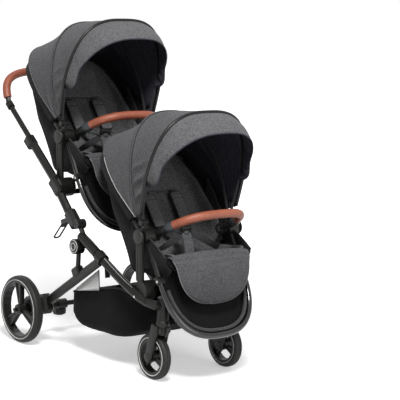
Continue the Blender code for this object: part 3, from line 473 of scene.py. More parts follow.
TAPE = cloth_material("edge_tape", (0.010, 0.010, 0.011), (0.026, 0.026, 0.028),
                      1500, 700, 0.0002, 0.2, 0.1, 0.7)
# Light silver grey: the reflective piping on the hood's hem, and also a painted highlight line beside the
# front bow's piping.
SILVER_PIPING_AND_HIGHLIGHT = cloth_material("reflective_piping_and_painted_highlight", (0.34, 0.34, 0.34), (0.62, 0.62, 0.62),
                        2200, 900, 0.0001, 0.1, 0.1, 0.35)
# Black cloth of the foot pocket, painted darker than black cloth is, as painted shade.
SHADED_SLING_CLOTH = cloth_material("sling_cloth_with_painted_shade", (0.0010, 0.0010, 0.0011), (0.0032, 0.0032, 0.0035),
                             1200, 320, 0.0003, 0.0, 0.3, 0.95)
BAND = cloth_material("sling_band", (0.020, 0.020, 0.021), (0.050, 0.050, 0.053),
                      900, 300, 0.0003, 0.3, 0.2, 0.6)
# Grey piping of the calf pads; also the rear hood's hem piping, painted darker than the front's as painted
# shade.
GREY_PIPING = cloth_material("grey_piping", (0.11, 0.11, 0.11), (0.21, 0.21, 0.21),
                             2000, 900, 0.0001, 0.1, 0.1, 0.5)
FRAME = painted_material("matt_black_paint", (0.0115, 0.0115, 0.0105), 0.38)
GLOSS = painted_material("gloss_black_lacquer", (0.006, 0.006, 0.006), 0.20, 0.8, 0.00001, 0.2)
PIPING = painted_material("gloss_black_piping", (0.004, 0.004, 0.004), 0.34, 0.0, 0.00002, 0.0)
MOULDED = moulded_material("black_moulding", (0.012, 0.012, 0.011), 0.40)
SOFT_MOULDED = moulded_material("grey_cap_moulding", (0.045, 0.050, 0.055), 0.42)
RUBBER = moulded_material("tyre_rubber", (0.019, 0.019, 0.018), 0.55, 420)
WHITE = moulded_material("white_trim", (0.80, 0.80, 0.78), 0.4)
STEEL = painted_material("zinc_steel", (0.55, 0.55, 0.54), 0.3, 0.0, 0.00003, 1.0)
LEATHER = leather_material("brown_leather", (0.235, 0.060, 0.030), (0.375, 0.105, 0.054))
STITCH = cloth_material("brown_thread", (0.30, 0.13, 0.07), (0.46, 0.24, 0.14),
                        2500, 900, 0.0002, 0.1, 0.1, 0.6)


# The hood

HOOD_PIVOT = (0.008, 0.045)
HOOD_HALF = 0.222
HOOD_TOE = 0.06
FRONT_BOW = (math.radians(12.4), 0.383, 3.0)
MID_BOW = (math.radians(-19.6), 0.381, 2.5)
REAR_HEM = (math.radians(-51.4), 0.420, 3.0)
BACK_HOOP = (math.radians(-51), 5.0)
HOOD_DIPS = (0.026, 0.012)
VISOR_FOOT = 0.118
VISOR = (math.radians(37.6), 0.250, 2.65)
VISOR_HALF = 0.200
TAB = 0.026


def hood_row(pivot, share, count, out=0.0):
    """One line of the hood across the pram: share 0 is its rear hem, 0.5 its middle bow, 1 its front bow."""
    if share < 0.5:
        low, high, part, dip = REAR_HEM, MID_BOW, share * 2, HOOD_DIPS[0]
    else:
        low, high, part, dip = MID_BOW, FRONT_BOW, share * 2 - 1, HOOD_DIPS[1]
    lean, reach, power = (mix(a, b, part) for a, b in zip(low, high))
    reach += out - dip * math.sin(math.pi * part)
    return hoop(pivot, HOOD_HALF + out, lean, reach, power, count, 0.026, 0.974, HOOD_TOE)


def blend_over_hood(made):
    """Bake a cloth's place into its mesh, so that it rides on no body."""
    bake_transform(made)


def hood(label, hub):
    """The cloth hood from its rear hem, piped low at each side, over the middle bow to the front bow."""
    pivot = seat_place(hub, HOOD_PIVOT)
    middle = Vector((0, pivot[0] + 0.02, pivot[1] + 0.12))
    count = 129
    rows = []
    for step in range(49):
        share = step / 48
        row = hood_row(pivot, share, count)
        for index, point in enumerate(row):
            across = index / (count - 1)
            side = abs(across * 2 - 1)
            out = (point - middle).normalized()
            span = math.sin(math.pi * ((share * 2) % 1.0)) if share not in (0.5, 1.0) else 0.0
            if share > 0.5:
                part = share * 2 - 1
                turn = side * 56 + part * 4.5 + (1.4 if across > 0.5 else 0.0)
                fold = 1 - 1.6 * abs(math.sin(turn / 2)) ** 0.7
                deep = 0.0085 if label == "front" else 0.0040
                crease = deep * span ** 0.6 * bump01(side, 0.56, 0.68) * bump01(1.01 - side, 0.0, 0.10) * fold
            else:
                crease = 0.0026 * span * bump01(side, 0.45, 0.95) * math.sin(side * 19 + share * 26)
            drift = 0.0016 * span * noise.noise((across * 6, share * 7, 3.1 if label == "front" else 8.4))
            row[index] = point + out * (crease + drift)
        rows.append(row)
    bm = grid(rows)
    face_away(bm, middle)
    shell(bm, STIFF_CLOTH, 1)
    for share in (0.480, 0.520):
        add(bm, tube(hood_row(pivot, share, 57, 0.0010), 0.0020, 6), 2)
    add(bm, tube(hood_row(pivot, 0.5, 57, 0.0012), 0.0030, 8), 0)
    hem_line = hood_row(pivot, 0.004, 97, 0.0012)
    add(bm, tube(hem_line[26:-26], 0.0024, 8), 0)
    for part in (hem_line[:27], hem_line[-27:]):
        add(bm, tube(part, 0.0014, 8), 3)
    # The rear hood's hem is the same piping as the front's, coloured darker grey as painted shade.
    hem = SILVER_PIPING_AND_HIGHLIGHT if label == "front" else GREY_PIPING
    made = piece(label + "_hood_cloth", bm, (HOOD_CLOTH, LINING, TAPE, hem), None,
                 (label + "_hood",))
    blend_over_hood(made)


def hood_back(label, hub):
    """Black cloth from the hood's rear hem round the tube of the backrest, and in behind it."""
    pivot = seat_place(hub, HOOD_PIVOT)
    lean, power = BACK_HOOP
    lines = [hood_row(pivot, 0.01, 65, -0.0016)]
    for behind, half, length in ((0.002, 0.2076, 0.4128), (0.0090, 0.2072, 0.4118), (0.0115, 0.2010, 0.4060),
                                 (0.0120, 0.1900, 0.3940), (0.0120, 0.1760, 0.3780)):
        base = (hub[0] + math.cos(lean) * behind, hub[1] + math.sin(lean) * behind)
        lines.append(hoop(base, half, lean, length, power, 65, 0.07, 0.93))
    rows = [[] for step in range(21)]
    for index in range(65):
        for step, point in enumerate(smooth_line([line[index] for line in lines], 21)):
            ripple = 0.0012 * noise.noise((index * 0.21, step * 0.3, 4.2))
            rows[step].append(point + Vector((0, math.cos(lean), math.sin(lean))) * ripple)
    bm = grid(rows)
    face_away(bm, (0, pivot[0] + 0.06, pivot[1] + 0.12))
    shell(bm, BACK_CLOTH)
    made = piece(label + "_hood_back", bm, (DARK_CLOTH,), label + "_seat", (label + "_hood",))


def visor(label, hub):
    """The stiffened front of the hood: grey outside, dark and gathered inside."""
    pivot = seat_place(hub, HOOD_PIVOT)
    lean, reach, power = FRONT_BOW
    edge_lean, edge_reach, edge_power = VISOR
    foot = (pivot[0] - VISOR_FOOT * math.sin(lean), pivot[1] + VISOR_FOOT * math.cos(lean))
    middle = Vector((0, foot[0] + 0.02, foot[1] - 0.02))
    count = 65
    back = hoop(pivot, HOOD_HALF, lean, reach, power, count, 0.145, 0.855, HOOD_TOE)
    edge = hoop(foot, VISOR_HALF, edge_lean, edge_reach, edge_power, count, 0.02, 0.98)
    forward = Vector((0, -math.cos(lean), -math.sin(lean)))
    for index, point in enumerate(edge):
        side = abs(index / (count - 1) * 2 - 1)
        ending = 1 - max(0.0, (side - 0.90) / 0.10) ** 3
        edge[index] = point + forward * TAB * bump01(side, 0.72, 0.93) * ending
    rows = []
    for step in range(17):
        share = step / 16
        row = []
        for index, (a, b) in enumerate(zip(back, edge)):
            across = index / (count - 1)
            point = a.lerp(b, share)
            out = Vector((point.x, point.y - foot[0], point.z - foot[1])).normalized()
            rise = 0.010 * math.sin(math.pi * share) * math.sin(math.pi * across)
            rise += 0.0010 * noise.noise((across * 7, share * 3, 5.2)) * math.sin(math.pi * share)
            row.append(point + out * rise)
        rows.append(row)
    bm = grid(rows)
    face_away(bm, middle)
    shell(bm, STIFF_CLOTH, 1)
    add(bm, tube(even(edge, 61), 0.0024, 8), 1)
    made = piece(label + "_visor_cloth", bm, (VISOR_CLOTH, LINING), label + "_hood_front",
                 (label + "_visor",))
    gathers = []
    behind = even(back, 97)
    before = even(edge, 97)
    for step in range(9):
        share = mix(0.10, 0.92, step / 8)
        row = []
        for index in range(97):
            across = index / 96
            point = behind[index].lerp(before[index], share)
            inward = (middle - point).normalized()
            side = bump01(abs(across * 2 - 1), 0.35, 0.9)
            fold = 0.5 + 0.5 * math.sin(index * 1.35 + 1.3 * math.sin(index * 0.37))
            row.append(point + inward * (0.0045 + 0.011 * side * fold * math.sin(math.pi * share)))
        gathers.append(row)
    bm = grid(gathers)
    face_away(bm, middle)
    shell(bm, THIN_CLOTH)
    lining = piece(label + "_visor_lining", bm, (LINING,), label + "_hood_front")


def front_piping(label, hub):
    """Black glossy piping over the front bow, with a short silver line beside it at each side, which is a
    painted highlight.
    """
    pivot = seat_place(hub, HOOD_PIVOT)
    lean, reach, power = FRONT_BOW
    line = hoop(pivot, HOOD_HALF + 0.001, lean, reach + 0.0015, power, 81, 0.03, 0.97, HOOD_TOE)
    back = Vector((0, math.cos(lean), math.sin(lean)))
    bm = tube(line, 0.0062, 12)
    # The silver lines beside the piping are a painted highlight, not a part of the pram.
    for part in (line[14:34], line[-34:-14]):
        add(bm, tube([point + back * 0.0068 for point in part], 0.0013, 8), 1)
    piece(label + "_hood_piping", bm, (PIPING, SILVER_PIPING_AND_HIGHLIGHT), label + "_hood_front")


def hood_gathers(label, hub):
    """Dark lining gathered into pleats on both sides inside the hood."""
    pivot = seat_place(hub, HOOD_PIVOT)
    bm = bmesh.new()
    for side in (0, 1):
        rows = []
        for step in range(25):
            part = step / 24
            row = []
            for index in range(97):
                share = mix(0.30, 0.985, index / 96)
                whole = hood_row(pivot, share, 97, -0.0075)
                along = mix(0.035, 0.40, part)
                point = whole[round(along * 96)] if side == 0 else whole[96 - round(along * 96)]
                fold = 0.5 + 0.5 * math.sin(index * 1.15 + 1.1 * math.sin(index * 0.31) + part * 1.5)
                inward = Vector((1 if side == 0 else -1, 0, -0.15)).normalized()
                row.append(point + inward * 0.010 * fold * math.sin(math.pi * min(part + 0.06, 1.0)) ** 0.5)
            rows.append(row)
        sheet = grid(rows)
        face_away(sheet, (0, pivot[0], pivot[1] + 0.2))
        shell(sheet, THIN_CLOTH)
        add(bm, sheet, 0)
    made = piece(label + "_hood_gathers", bm, (LINING,), None)
    blend_over_hood(made)


# The padded seat

SEAT_EDGE = (-0.112, -0.064)
BIGHT = (0.052, -0.101)
BACK_TOP = (0.282, 0.250)
LINER_HALF = 0.185
LINER_WALL = 0.018
LINER_THICKNESS = 0.038


def liner_rows():
    """The bucket's rows from front edge to top: place, direction of its face, half width, wall, depth."""
    back_run = Vector((BACK_TOP[0] - BIGHT[0], BACK_TOP[1] - BIGHT[1])).normalized()
    back_face = Vector((-back_run.y, back_run.x))
    base_run = Vector((BIGHT[0] - SEAT_EDGE[0], BIGHT[1] - SEAT_EDGE[1])).normalized()
    base_face = Vector((-base_run.y, base_run.x))
    bend_face = (base_face + back_face).normalized()
    rows = []
    for share, half, wall, depth in ((0.0, 0.156, 0.014, 0.60), (0.08, 0.165, 0.022, 0.95),
                                     (0.5, 0.171, 0.026, 1.0),
                                     (0.86, 0.176, 0.036, 1.0)):
        rows.append((along_line(SEAT_EDGE, BIGHT, share), base_face, half, wall, depth))
    rows.append(((BIGHT[0] + 0.004, BIGHT[1] + 0.002), bend_face, LINER_HALF, 0.050, 1.0))
    for share, half, wall, depth in ((0.10, LINER_HALF, 0.056, 1.0), (0.30, LINER_HALF, 0.062, 1.1),
                                     (0.50, 0.182, 0.044, 1.1), (0.68, 0.179, 0.028, 1.1),
                                     (0.84, 0.164, 0.014, 1.0),
                                     (0.96, 0.139, 0.004, 0.9), (1.0, 0.117, 0.002, 0.5)):
        rows.append((along_line(BIGHT, BACK_TOP, share), back_face, half, wall, depth))
    return rows


def seat_liner(label, hub):
    """The padded bucket: quilted inside with rolled side walls, plain dark cloth outside."""
    rows = liner_rows()
    fine = 56
    rings = []
    for step in range(fine + 1):
        place = step / fine * (len(rows) - 1)
        leg = min(int(place), len(rows) - 2)
        t = place - leg

        def pick(read):
            near = [read(rows[min(max(leg + shift, 0), len(rows) - 1)]) for shift in (-1, 0, 1, 2)]
            return between(near, t)

        centre = Vector(seat_place(hub, (pick(lambda r: r[0][0]), pick(lambda r: r[0][1]))))
        face = Vector((pick(lambda r: r[1].x), pick(lambda r: r[1].y))).normalized()
        half, wall, depth = pick(lambda r: r[2]), pick(lambda r: r[3]), pick(lambda r: r[4])
        thick = LINER_THICKNESS * depth
        crown = 0.006 * depth
        inner = half - LINER_WALL
        outline = [(-half, wall - 0.006), (-half + LINER_WALL * 0.5, wall), (-inner, wall * 0.5),
                   (-inner + 0.014, 0.0),
                   (-inner * 0.45, crown), (0, crown * 0.6), (inner * 0.45, crown), (inner - 0.014, 0.0),
                   (inner, wall * 0.5), (half - LINER_WALL * 0.5, wall), (half, wall - 0.006),
                   (half, -thick * 0.6),
                   (half * 0.86, -thick), (0, -thick * 1.06), (-half * 0.86, -thick), (-half, -thick * 0.6)]
        closed = [Vector((x, rise, 0)) for x, rise in outline]
        inside = smooth_line(closed[:11], 45)
        outside = smooth_line(closed[10:] + [closed[0]], 21)[1:-1]
        ring = []
        for number, point in enumerate(inside + outside):
            rise = point.y
            x = point.x
            if number < 45:
                side = abs(x) / half
                quilt = 0.0
                for seam in (0.0, 0.36, 0.66):
                    quilt += groove(side, seam, 0.018)
                if place > 4.2:
                    for seam in (5.25, 8.2):
                        quilt += groove(place, seam, 0.05)
                quilt = min(quilt, 1.0) * bump01(place, 0.2, 0.9) * bump01(len(rows) - 1 - place, 0.2, 0.9)
                rise += 0.0045 * bump01(1 - side, 0.0, 0.3) * (1 - quilt) - 0.0035 * quilt
                rise += 0.0018 * noise.noise((x * 14, place * 0.9, 2.7 if label == "front" else 6.1))
            else:
                rise += 0.0012 * noise.noise((x * 9, place * 0.8, 4.4))
            ring.append(Vector((x, centre.x + face.x * rise, centre.y + face.y * rise)))
        rings.append(ring)
    bm = ring_skin(rings)
    layer = bm.loops.layers.uv.active
    for face in bm.faces:
        spot = sum((loop[layer].uv.x for loop in face.loops)) / len(face.loops)
        face.material_index = 0 if spot < 44.5 / 64 else 1
    rolled = []
    for side in (0, 44):
        rolled.append([ring[side] + Vector((0, 0, 0.001)) for ring in rings[2:-2]])
    top = [rings[-1][index] for index in range(2, 43, 2)]
    line = rolled[0] + top + rolled[1][::-1]
    add(bm, tube(even(line, 90), 0.0024, 7), 2)
    made = piece(label + "_seat_padding", bm, (SEAT_CLOTH, DARK_CLOTH, TAPE), label + "_seat",
                 (label + "_seat_liner",))
    return made


def side_flaps(label, hub):
    """Black cloth at each side of the seat, from its base out to the hub and round to the front edge."""
    bm = bmesh.new()
    spread = ((-0.112, -0.058, -0.104), (-0.085, -0.040, -0.132), (-0.040, -0.014, -0.140),
              (0.010, 0.012, -0.138),
              (0.055, 0.056, -0.120), (0.095, 0.108, -0.060), (0.135, 0.158, 0.010))
    tops = smooth_line([(y, high, 0) for y, high, low in spread], 33)
    bases = smooth_line([(y, low, 0) for y, high, low in spread], 33)
    for side in (-1, 1):
        rows = []
        for step, (top, base) in enumerate(zip(tops, bases)):
            row = []
            for index in range(17):
                part = index / 16
                fold = 0.0022 * math.sin(step * 0.9 + part * 2) * math.sin(math.pi * part)
                x = mix(0.188, 0.160, part ** 1.6) + 0.004 * math.sin(math.pi * part) + fold
                row.append((side * x, hub[0] + mix(top.x, base.x, part), hub[1] + mix(top.y, base.y, part)))
            rows.append([Vector(point) for point in row])
        sheet = grid(rows)
        face_away(sheet, (0, hub[0], hub[1] - 0.05))
        shell(sheet, STIFF_CLOTH)
        add(bm, sheet, 0)
        add(bm, tube([row[0] for row in rows], 0.0030, 8), 1)
    made = piece(label + "_side_flaps", bm, (DARK_CLOTH, TAPE), label + "_seat")


def back_place(share, rise):
    """A side place on the backrest, at a share of its height and a rise off its face."""
    run = Vector((BACK_TOP[0] - BIGHT[0], BACK_TOP[1] - BIGHT[1])).normalized()
    foot = along_line(BIGHT, BACK_TOP, share)
    return (foot[0] - run.y * rise, foot[1] + run.x * rise)


BACK_SLOPE = math.atan2(BACK_TOP[1] - BIGHT[1], BACK_TOP[0] - BIGHT[0])


def headrest(label, hub):
    """The head pillow, with a piped edge."""
    centre = (0, *seat_place(hub, back_place(0.74, 0.026)))
    bm = pillow((0.176, 0.125, 0.026), centre, BACK_SLOPE, 0.40, 9, 0.05)
    turn = Matrix.Translation(centre) @ Matrix.Rotation(BACK_SLOPE, 4, "X")
    rim = []
    for index in range(64):
        angle = math.tau * index / 64
        x = 0.087 * math.copysign(abs(math.cos(angle)) ** 0.28, math.cos(angle))
        y = 0.060 * math.copysign(abs(math.sin(angle)) ** 0.28, math.sin(angle))
        rim.append(turn @ Vector((x, y, 0.004)))
    add(bm, tube(even(rim + [rim[0]], 96)[:-1], 0.0016, 6, True), 1)
    made = piece(label + "_head_pillow", bm, (SEAT_CLOTH, TAPE), label + "_seat",
                 (label + "_headrest",), 1)


def strap(points, width, thickness, count=28):
    """A flat strap through the points, lying with its width across the pram."""
    line = smooth_line(points, count)
    rings = []
    for index, point in enumerate(line):
        run = (line[min(index + 1, count - 1)] - line[max(index - 1, 0)]).normalized()
        side = (Vector((1, 0, 0)) - run * run.x).normalized()
        up = side.cross(run)
        ring = []
        for a, b in ((-1, -0.6), (-0.94, -1), (0.94, -1), (1, -0.6), (1, 0.6), (0.94, 1), (-0.94, 1),
                     (-1, 0.6)):
            ring.append(point + side * a * width / 2 + up * b * thickness / 2)
        rings.append(ring)
    return ring_skin(rings)


BUCKLE = (0.020, -0.004)
HIP = (0.030, -0.072)
PAD_ACROSS = 0.060


def harness(label, hub):
    """Piped and stitched shoulder pads on webbing, hip and crotch straps, and the round-topped buckle."""
    buckle = seat_place(hub, BUCKLE)
    bm = bmesh.new()
    for side in (-1, 1):
        top = seat_place(hub, back_place(0.60, 0.014))
        high_pad = seat_place(hub, back_place(0.56, 0.026))
        low_pad = seat_place(hub, back_place(0.26, 0.035))
        x = side * PAD_ACROSS
        pad_centre = along_line(high_pad, low_pad, 0.5)
        length = math.hypot(high_pad[0] - low_pad[0], high_pad[1] - low_pad[1])
        slope = math.atan2(high_pad[1] - low_pad[1], high_pad[0] - low_pad[0])
        add(bm, pillow((0.046, length, 0.017), (x, *pad_centre), slope, 0.55, 7, 0.05), 4)
        turn = Matrix.Translation((x, *pad_centre)) @ Matrix.Rotation(slope, 4, "X")
        rim = []
        for a, b in ((-1, -1), (1, -1), (1, 1), (-1, 1)):
            rim.append(turn @ Vector((a * 0.0235, b * length / 2, 0.002)))
        add(bm, tube(even(rim + [rim[0]], 80)[:-1], 0.0022, 6, True), 1)
        for stitch in (0.30, 0.42):
            ends = [turn @ Vector((a * 0.020, stitch * length, 0.0100)) for a in (-1, 1)]
            add(bm, tube(even(ends, 8), 0.0010, 6), 1)
        add(bm, strap([(x, *top), (x, *high_pad), (x, *pad_centre), (x * 0.96, *low_pad),
                       (side * 0.040, *along_line(low_pad, buckle, 0.55)), (side * 0.012, *buckle)], 0.025,
                       0.0022), 1)
        hip = seat_place(hub, HIP)
        add(bm, strap([(side * 0.158, *hip), (side * 0.110, hip[0] - 0.02, hip[1] + 0.022),
                       (side * 0.060, buckle[0] - 0.012, buckle[1] - 0.022),
                       (side * 0.016, buckle[0], buckle[1] - 0.006)],
                      0.025, 0.0022), 1)
    crotch = [(0, *buckle), (0, buckle[0] - 0.016, buckle[1] - 0.03), (0, *seat_place(hub, (-0.010, -0.080)))]
    add(bm, strap(crotch, 0.040, 0.010), 0)
    add(bm, rounded_block((0.044, 0.046, 0.014), (0, *buckle), 0.35 + math.radians(90), 0.005), 2)
    outward = Vector((0, -1, 0.36)).normalized()
    spot = Vector((0, *buckle)) + outward * 0.007
    add(bm, lathe([(0, 0.0042), (0.009, 0.0036), (0.0115, 0.0020), (0.0125, 0), (0, 0)], spot, outward, 32,
                  False), 3)
    made = piece(label + "_harness_set", bm, (SEAT_CLOTH, WEBBING, MOULDED, SOFT_MOULDED, VISOR_CLOTH),
                 label + "_seat",
                 (label + "_harness",), smooth=50)


def calf_pad(label, hub):
    """The padded flap in front of the seat: creased where it rolls over the edge, and piped round."""
    line = [seat_place(hub, place) for place in ((-0.100, -0.058), (-0.120, -0.061), (-0.134, -0.078),
                                                 (-0.144, -0.112),
                                                 (-0.152, -0.150), (-0.160, -0.190), (-0.165, -0.217))]
    line = smooth_line([(0, y, z) for y, z in line], 45)
    across = 40
    rings = []
    for step, centre in enumerate(line):
        share = step / 44
        run = (line[min(step + 1, 44)] - line[max(step - 1, 0)]).normalized()
        face = Vector((0, run.z, -run.y))
        part = min(max(share - 0.12, 0.0) / 0.88, 0.9985)
        half = mix(0.171, 0.159, bump01(share, 0.06, 0.36)) * max(1 - part ** 2.6, 0.0) ** (1 / 2.6)
        depth = 0.019 * mix(0.55, 1.0, bump01(share, 0.0, 0.12)) * (1 - 0.5 * part ** 6)
        front, back = [], []
        for index in range(across + 1):
            a = -math.cos(math.pi * index / across)
            edge = (1 - abs(a) ** 6) ** 0.5
            puff = (0.015 if label == "front" else 0.007) * (1 - abs(a) ** 2.4)
            puff *= math.sin(math.pi * min(part * 0.93 + 0.07, 1.0)) ** 0.7
            puff += 0.0018 * noise.noise((a * 3.1, share * 4.2, 1.9 if label == "front" else 7.7))
            puff -= 0.0075 * groove(share, 0.185 + 0.012 * a, 0.020)
            puff -= 0.0028 * groove(share, 0.29 - 0.03 * a, 0.016) * bump01(a, -0.9, -0.2)
            front.append(Vector((a * half, centre.y, centre.z)) + face * (depth / 2 + puff) * edge)
            if 0 < index < across:
                back.append(Vector((a * half, centre.y, centre.z)) - face * depth / 2 * edge)
        rings.append(front + back[::-1])
    bm = ring_skin(rings)
    rim = [ring[0] for ring in rings[7:]] + [ring[across] for ring in rings[7:]][::-1]
    add(bm, tube(even(rim, 120), 0.0021, 7), 1)
    made = piece(label + "_calf_padding", bm, (PAD_CLOTH, GREY_PIPING), label + "_calf_rest",
                 (label + "_calf_pad",))


FOOT_JOINT = (-0.080, -0.141)
FOOT_TIP = (-0.188, -0.323)
FOOT_HALF = 0.183


def foot_pocket(label, hub):
    """Black cloth from under the seat's front edge down into the bent tube of the footrest, coloured darker
    still as painted shade.
    """
    joint = Vector((0, *seat_place(hub, FOOT_JOINT)))
    run = Vector((0, *seat_place(hub, FOOT_TIP))) - joint
    behind = Vector((0, -run.z, run.y)).normalized()
    seat_edge = Vector((0, *seat_place(hub, (-0.098, -0.086))))
    rows = []
    for step in range(41):
        share = step / 40
        if share < 0.25:
            part = share / 0.25
            centre = seat_edge.lerp(joint + run * 0.12, part) + behind * 0.006 * math.sin(math.pi * part)
            half = mix(0.176, FOOT_HALF - 0.003, part)
            sag = 0.004
        else:
            part = mix(0.12, 0.985, (share - 0.25) / 0.75)
            centre = joint + run * part
            half = FOOT_HALF * (1 - part ** 2.6) ** (1 / 2.6)
            sag = 0.002 + 0.007 * math.sin(math.pi * (part - 0.12) / 0.87)
        row = []
        for index in range(57):
            a = index / 28 - 1
            pleat = 0.0030 * math.sin(a * 21 + share * 4) * bump01(abs(a), 0.35, 0.8) * (1 - abs(a) ** 8)
            pleat += 0.0016 * noise.noise((a * 4, share * 5, 2.2 if label == "front" else 5.9))
            depth = (sag * (1 - a ** 4) + pleat) * math.sin(math.pi * min(share * 1.02 + 0.02, 1.0)) ** 0.4
            row.append(Vector((a * half, centre.y, centre.z)) + behind * depth)
        rows.append(row)
    bm = grid(rows)
    face_away(bm, joint + behind * 0.5)
    shell(bm, CANVAS)
    # The sling's near-black colour is black cloth with painted shade added.
    made = piece(label + "_foot_sling", bm, (SHADED_SLING_CLOTH,), None, (label + "_foot_pocket",))
    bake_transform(made)
    lean, reach = lean_of(FOOT_JOINT, FOOT_TIP)
    inner = hoop((joint.y, joint.z), FOOT_HALF - 0.0185, lean, reach - 0.0185, 2.6, 91, 0.06, 0.94)
    band = tube([point - behind * 0.003 for point in inner], 0.0062, 12)
    piece(label + "_foot_band", band, (BAND,), label + "_foot_rest")
    bent = tube(hoop((joint.y, joint.z), FOOT_HALF, lean, reach, 2.6, 121), 0.0110, 18)
    for side in (-1, 1):
        outline = [(0, -0.014), (0.0115, -0.014), (0.0135, -0.0125), (0.0135, -0.0010), (0.0126, -0.0004),
                   (0.0126, 0.0004),
                   (0.0135, 0.0010), (0.0135, 0.0125), (0.0115, 0.014), (0, 0.014)]
        place = (side * FOOT_HALF, joint.y, joint.z)
        add(bent, lathe(outline, place, (1, 0, 0), 32, False), 1)
        rivet = [(0, 0), (0.0052, 0), (0.0048, 0.0012), (0.0022, 0.0022), (0, 0.0024)]
        add(bent, lathe(rivet, (side * (FOOT_HALF + 0.0138), joint.y, joint.z), (side, 0, 0), 24, False), 2)
    piece(label + "_foot_tube", bent, (GLOSS, MOULDED, STEEL), label + "_foot_rest",
          (label + "_foot_frame",), smooth=50)


# Leather, and the moulded ends it meets

BUMPER_HALF = 0.148
BUMPER_RADIUS = 0.0150
GRIP_RADIUS = 0.0155


def skin_line(line, towards, radius):
    """The line along a round cord's skin, on the side that looks most towards a direction."""
    lifted = []
    for index, point in enumerate(line):
        across = (line[min(index + 1, len(line) - 1)] - line[max(index - 1, 0)]).normalized()
        lifted.append(point + (towards - across * towards.dot(across)).normalized() * radius)
    return lifted


def stitched_line(points, radius=0.0006, stitch=0.0042):
    """Short stitches along a line, as one mesh."""
    length = sum((b - a).length for a, b in zip(points, points[1:]))
    count = int(length / stitch)
    places = even(points, count * 4 + 1)
    bm = bmesh.new()
    for index in range(count):
        part = places[index * 4:index * 4 + 4]
        add(bm, tube(part, radius, 5, radii=(0.6, 1.0, 1.0, 0.6)), 0)
    return bm


def bumper(label, hub):
    """The bent bar across the seat: leather over its middle, moulded arms at its ends."""
    start = (hub[0] - 0.006, hub[1] + 0.003)
    lean, reach = lean_of((-0.006, 0.003), (-0.160, 0.086))
    line = hoop(start, BUMPER_HALF, lean, reach, 3.0, 97)
    arms = bmesh.new()
    for part in (line[:16], line[-16:][::-1]):
        radii = [1.0] * 12 + [1.04, 1.07, 1.07, 1.03]
        add(arms, tube(part, BUMPER_RADIUS, 20, radii=radii), 0)
    for side in (-1, 1):
        inner = Vector((side * (BUMPER_HALF - 0.013), *hub))
        outline = [(0, 0.0), (0.0175, 0.0), (0.019, 0.0012), (0.019, 0.0272), (0.0178, 0.0286), (0, 0.0286)]
        add(arms, lathe(outline, inner, (side, 0, 0), 36, False), 0)
        add(arms, lathe([(0, 0.0), (0.0105, 0.0), (0.0095, 0.0016), (0, 0.0022)], inner, (-side, 0, 0), 28,
                        False), 1)
    for part in (line[10:18], line[-18:-10][::-1]):
        radii = [0.90, 1.04, 1.15, 1.21, 1.23, 1.20, 1.10, 0.98]
        add(arms, tube(part, BUMPER_RADIUS, 24, radii=radii), 1)
    piece(label + "_bumper_arms", arms, (MOULDED, SOFT_MOULDED), label + "_bumper",
          (label + "_bumper_bar",), smooth=40)
    cover = tube(line[15:-15], BUMPER_RADIUS, 24)
    seam = skin_line(line[16:-16], Vector((0, math.sin(lean), -math.cos(lean))), BUMPER_RADIUS)
    add(cover, stitched_line(seam), 1)
    piece(label + "_bumper_leather", cover, (LEATHER, STITCH), label + "_bumper",
          (label + "_bumper_bar",), smooth=60)


def handle_leather():
    """The leather grip round the push bar, stitched underneath."""
    top = (0.185 + SHIFT, 0.8725)
    line = hoop(top, 0.235, math.radians(-25), 0.128, 3.6, 129, 0.035, 0.965)
    bm = tube(line, GRIP_RADIUS, 24)
    seam = skin_line(line[1:-1], Vector((0, -0.35, -1)), GRIP_RADIUS)[1:-1]
    add(bm, stitched_line(seam), 1)
    piece("handle_leather", bm, (LEATHER, STITCH), "handle", ("handle_grip",), smooth=60)


# The basket

BASKET_ROWS = (
    (-0.206, 0.190, 0.124, 0.222),
    (-0.250, 0.200, 0.102, 0.236),
    (-0.380, 0.204, 0.102, 0.272),
    (-0.480, 0.204, 0.110, 0.290),
    (-0.566, 0.176, 0.144, 0.262),
    (-0.634, 0.120, 0.180, 0.236),
)


